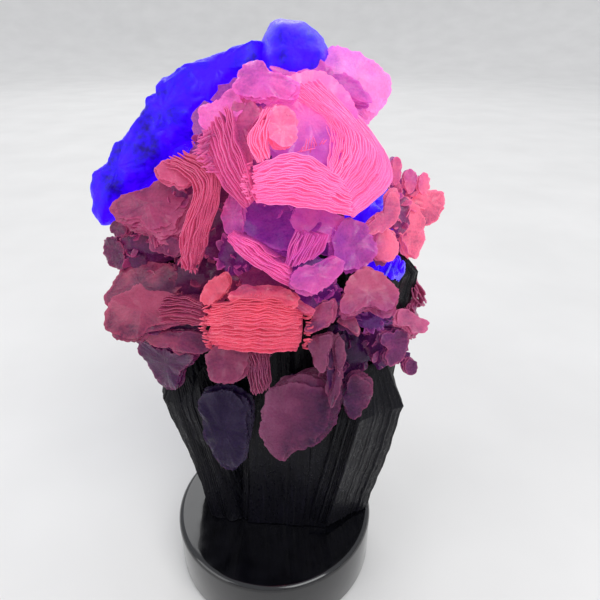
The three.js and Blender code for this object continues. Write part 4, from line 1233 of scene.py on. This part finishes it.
# How each calcite node looks: its record slot, its colour as the photograph shows it and its glow. The
# colours and glows fall from bright pink at the top to dark mauve low down and at the back: painted shade
# where the light fell off, and the glow itself is painted light.
LOOKS = {
    "calcite_main_rosette": ("calcite_hot_pink", (246, 114, 176), 0.42),
    "calcite_inner_petal": ("calcite_coral", (246, 110, 162), 0.4),
    "calcite_left_strand": ("calcite_coral", (200, 80, 140), 0.34),
    "calcite_crown": ("calcite_hot_pink", (228, 94, 182), 0.36),
    "calcite_upper_right_petal": ("calcite_hot_pink", (246, 130, 206), 0.42),
    "calcite_left_strap": ("calcite_coral", (186, 70, 112), 0.28),
    "calcite_left_plate": ("calcite_dusky_rose", (154, 54, 98), 0.26),
    "calcite_middle_fan": ("calcite_coral", (206, 78, 106), 0.32),
    "calcite_second_bowl": ("calcite_violet", (214, 84, 156), 0.36),
    "calcite_right_disc": ("calcite_dusky_rose", (168, 72, 108), 0.24),
    "calcite_right_petal": ("calcite_dusky_rose", (184, 86, 128), 0.24),
    "calcite_leaf_blades": ("calcite_mauve", (118, 54, 88), 0.17),
    "calcite_hanging_blade": ("calcite_mauve", (98, 40, 74), 0.16),
    "calcite_lower_leaf": ("calcite_mauve", (124, 50, 84), 0.2),
    "calcite_lower_left_blade": ("calcite_dusky_rose", (148, 56, 88), 0.26),
    # Near black: painted shade on a blade that hangs in shadow under the others.
    "calcite_dark_blade": ("calcite_mauve", (26, 9, 44), 0.08),
    "calcite_right_back_petals": ("calcite_coral", (238, 106, 142), 0.34),
    "calcite_back_rosette": ("calcite_coral", (206, 82, 120), 0.28),
    "calcite_back_blades": ("calcite_dusky_rose", (146, 60, 98), 0.2),
    "calcite_right_side_rosette": ("calcite_dusky_rose", (156, 66, 106), 0.2),
}


# Making the specimen

def make_crystals():
    """The calcite and the fluorite, one piece for each node."""
    blue = fluorite("fluorite blue")
    for number, (node, shapes) in enumerate(CRYSTALS.items()):
        piece = Piece(FIRST_SEED + number)
        for shape in shapes:
            shape(piece)
        if node in LOOKS:
            slot, shown, glow = LOOKS[node]
            finish = calcite(node.replace("_", " "), np.array(tint(*shown)), glow)
        else:
            slot, finish = "fluorite_blue", blue
        piece.add(node + "_crystals", node, slot, finish)


def make_mass():
    """The black mass that carries them."""
    piece = Piece(MASS_SEED)
    for shape in WOLFRAMITE:
        shape(piece)
    finish = wolframite("wolframite black")
    piece.add("wolframite_crystals", "wolframite_mass", "wolframite", finish, crease=24)


def make_base():
    """The round display base, turned, with rounded rims."""
    arc = np.linspace(0, math.pi / 2, 6)
    rim = BASE_RADIUS - BASE_EDGE
    low = -BASE_HEIGHT + BASE_EDGE
    profile = [(rim * share, -BASE_HEIGHT) for share in (0.4, 0.8, 0.97)]
    profile += [(rim + BASE_EDGE * math.sin(a), low - BASE_EDGE * math.cos(a)) for a in arc]
    profile += [(rim + BASE_EDGE * math.cos(a), -BASE_EDGE + BASE_EDGE * math.sin(a)) for a in arc]
    profile += [(rim * share, 0) for share in (0.97, 0.8, 0.4)]
    angle = np.linspace(0, 2 * math.pi, BASE_SIDES, endpoint=False)
    grid = [np.stack([r * np.cos(angle), r * np.sin(angle), np.full(BASE_SIDES, z)], -1) for r, z in profile]
    piece = Piece(BASE_SEED)
    piece.rings(np.array(grid), 0.5)
    piece.add("display_base_turned", "display_base", "base_black", gloss_black("base black"), crease=50)


def make_floor():
    """A plain pale floor that curves up far away."""
    angle = np.linspace(0, 2 * math.pi, FLOOR_SIDES, endpoint=False)
    curve = np.linspace(0, math.pi / 2, 16)
    profile = [(FLOOR_RADIUS, 0.0)]
    for a in curve:
        profile.append((FLOOR_RADIUS + FLOOR_CURVE * math.sin(a), FLOOR_CURVE - FLOOR_CURVE * math.cos(a)))
    points = [(0.0, 0.0, 0.0)]
    for r, z in profile:
        points += [(r * math.cos(a), r * math.sin(a), z) for a in angle]
    faces = [(0, 1 + i, 1 + (i + 1) % FLOOR_SIDES) for i in range(FLOOR_SIDES)]
    for ring in range(len(profile) - 1):
        for i in range(FLOOR_SIDES):
            here = 1 + ring * FLOOR_SIDES + i
            following = 1 + ring * FLOOR_SIDES + (i + 1) % FLOOR_SIDES
            faces.append((here, here + FLOOR_SIDES, following + FLOOR_SIDES, following))
    mesh = bpy.data.meshes.new("floor")
    mesh.from_pydata(points, [], faces)
    mesh.polygons.foreach_set("use_smooth", [True] * len(mesh.polygons))
    mesh.materials.append(pale_floor("pale floor"))
    floor = bpy.data.objects.new("floor", mesh)
    bpy.context.scene.collection.objects.link(floor)


def make_lights():
    """A pale surround and soft studio lights."""
    world = bpy.data.worlds.new("studio")
    world.use_nodes = True
    background = world.node_tree.nodes["Background"]
    background.inputs["Color"].default_value = (0.93, 0.95, 1.0, 1.0)
    background.inputs["Strength"].default_value = 0.75
    bpy.context.scene.world = world
    target = Vector(TOP_MIDDLE) + Vector((0, 0, 0.06))
    for name, place, size, power in LIGHTS:
        lamp = bpy.data.lights.new(name, "AREA")
        lamp.size = size
        lamp.energy = power
        light = bpy.data.objects.new(name, lamp)
        light.location = target + Vector(place)
        light.rotation_euler = (target - light.location).to_track_quat("-Z", "Y").to_euler()
        bpy.context.scene.collection.objects.link(light)


def make_camera():
    """The camera that took the photograph."""
    lens = bpy.data.cameras.new("camera")
    lens.sensor_width = SENSOR
    lens.lens = FOCAL_PIXELS * SENSOR / PHOTO_PIXELS
    lens.clip_start = 0.005
    camera = bpy.data.objects.new("camera", lens)
    camera.location = Vector(TOP_MIDDLE) + Vector(CAMERA_AT) * MM
    camera.rotation_euler = (math.radians(90 - CAMERA_DOWN), 0, 0)
    bpy.context.scene.collection.objects.link(camera)
    bpy.context.scene.camera = camera
    bpy.context.scene.view_settings.view_transform = "Standard"


make_camera()
make_floor()
make_lights()
make_base()
make_mass()
make_crystals()
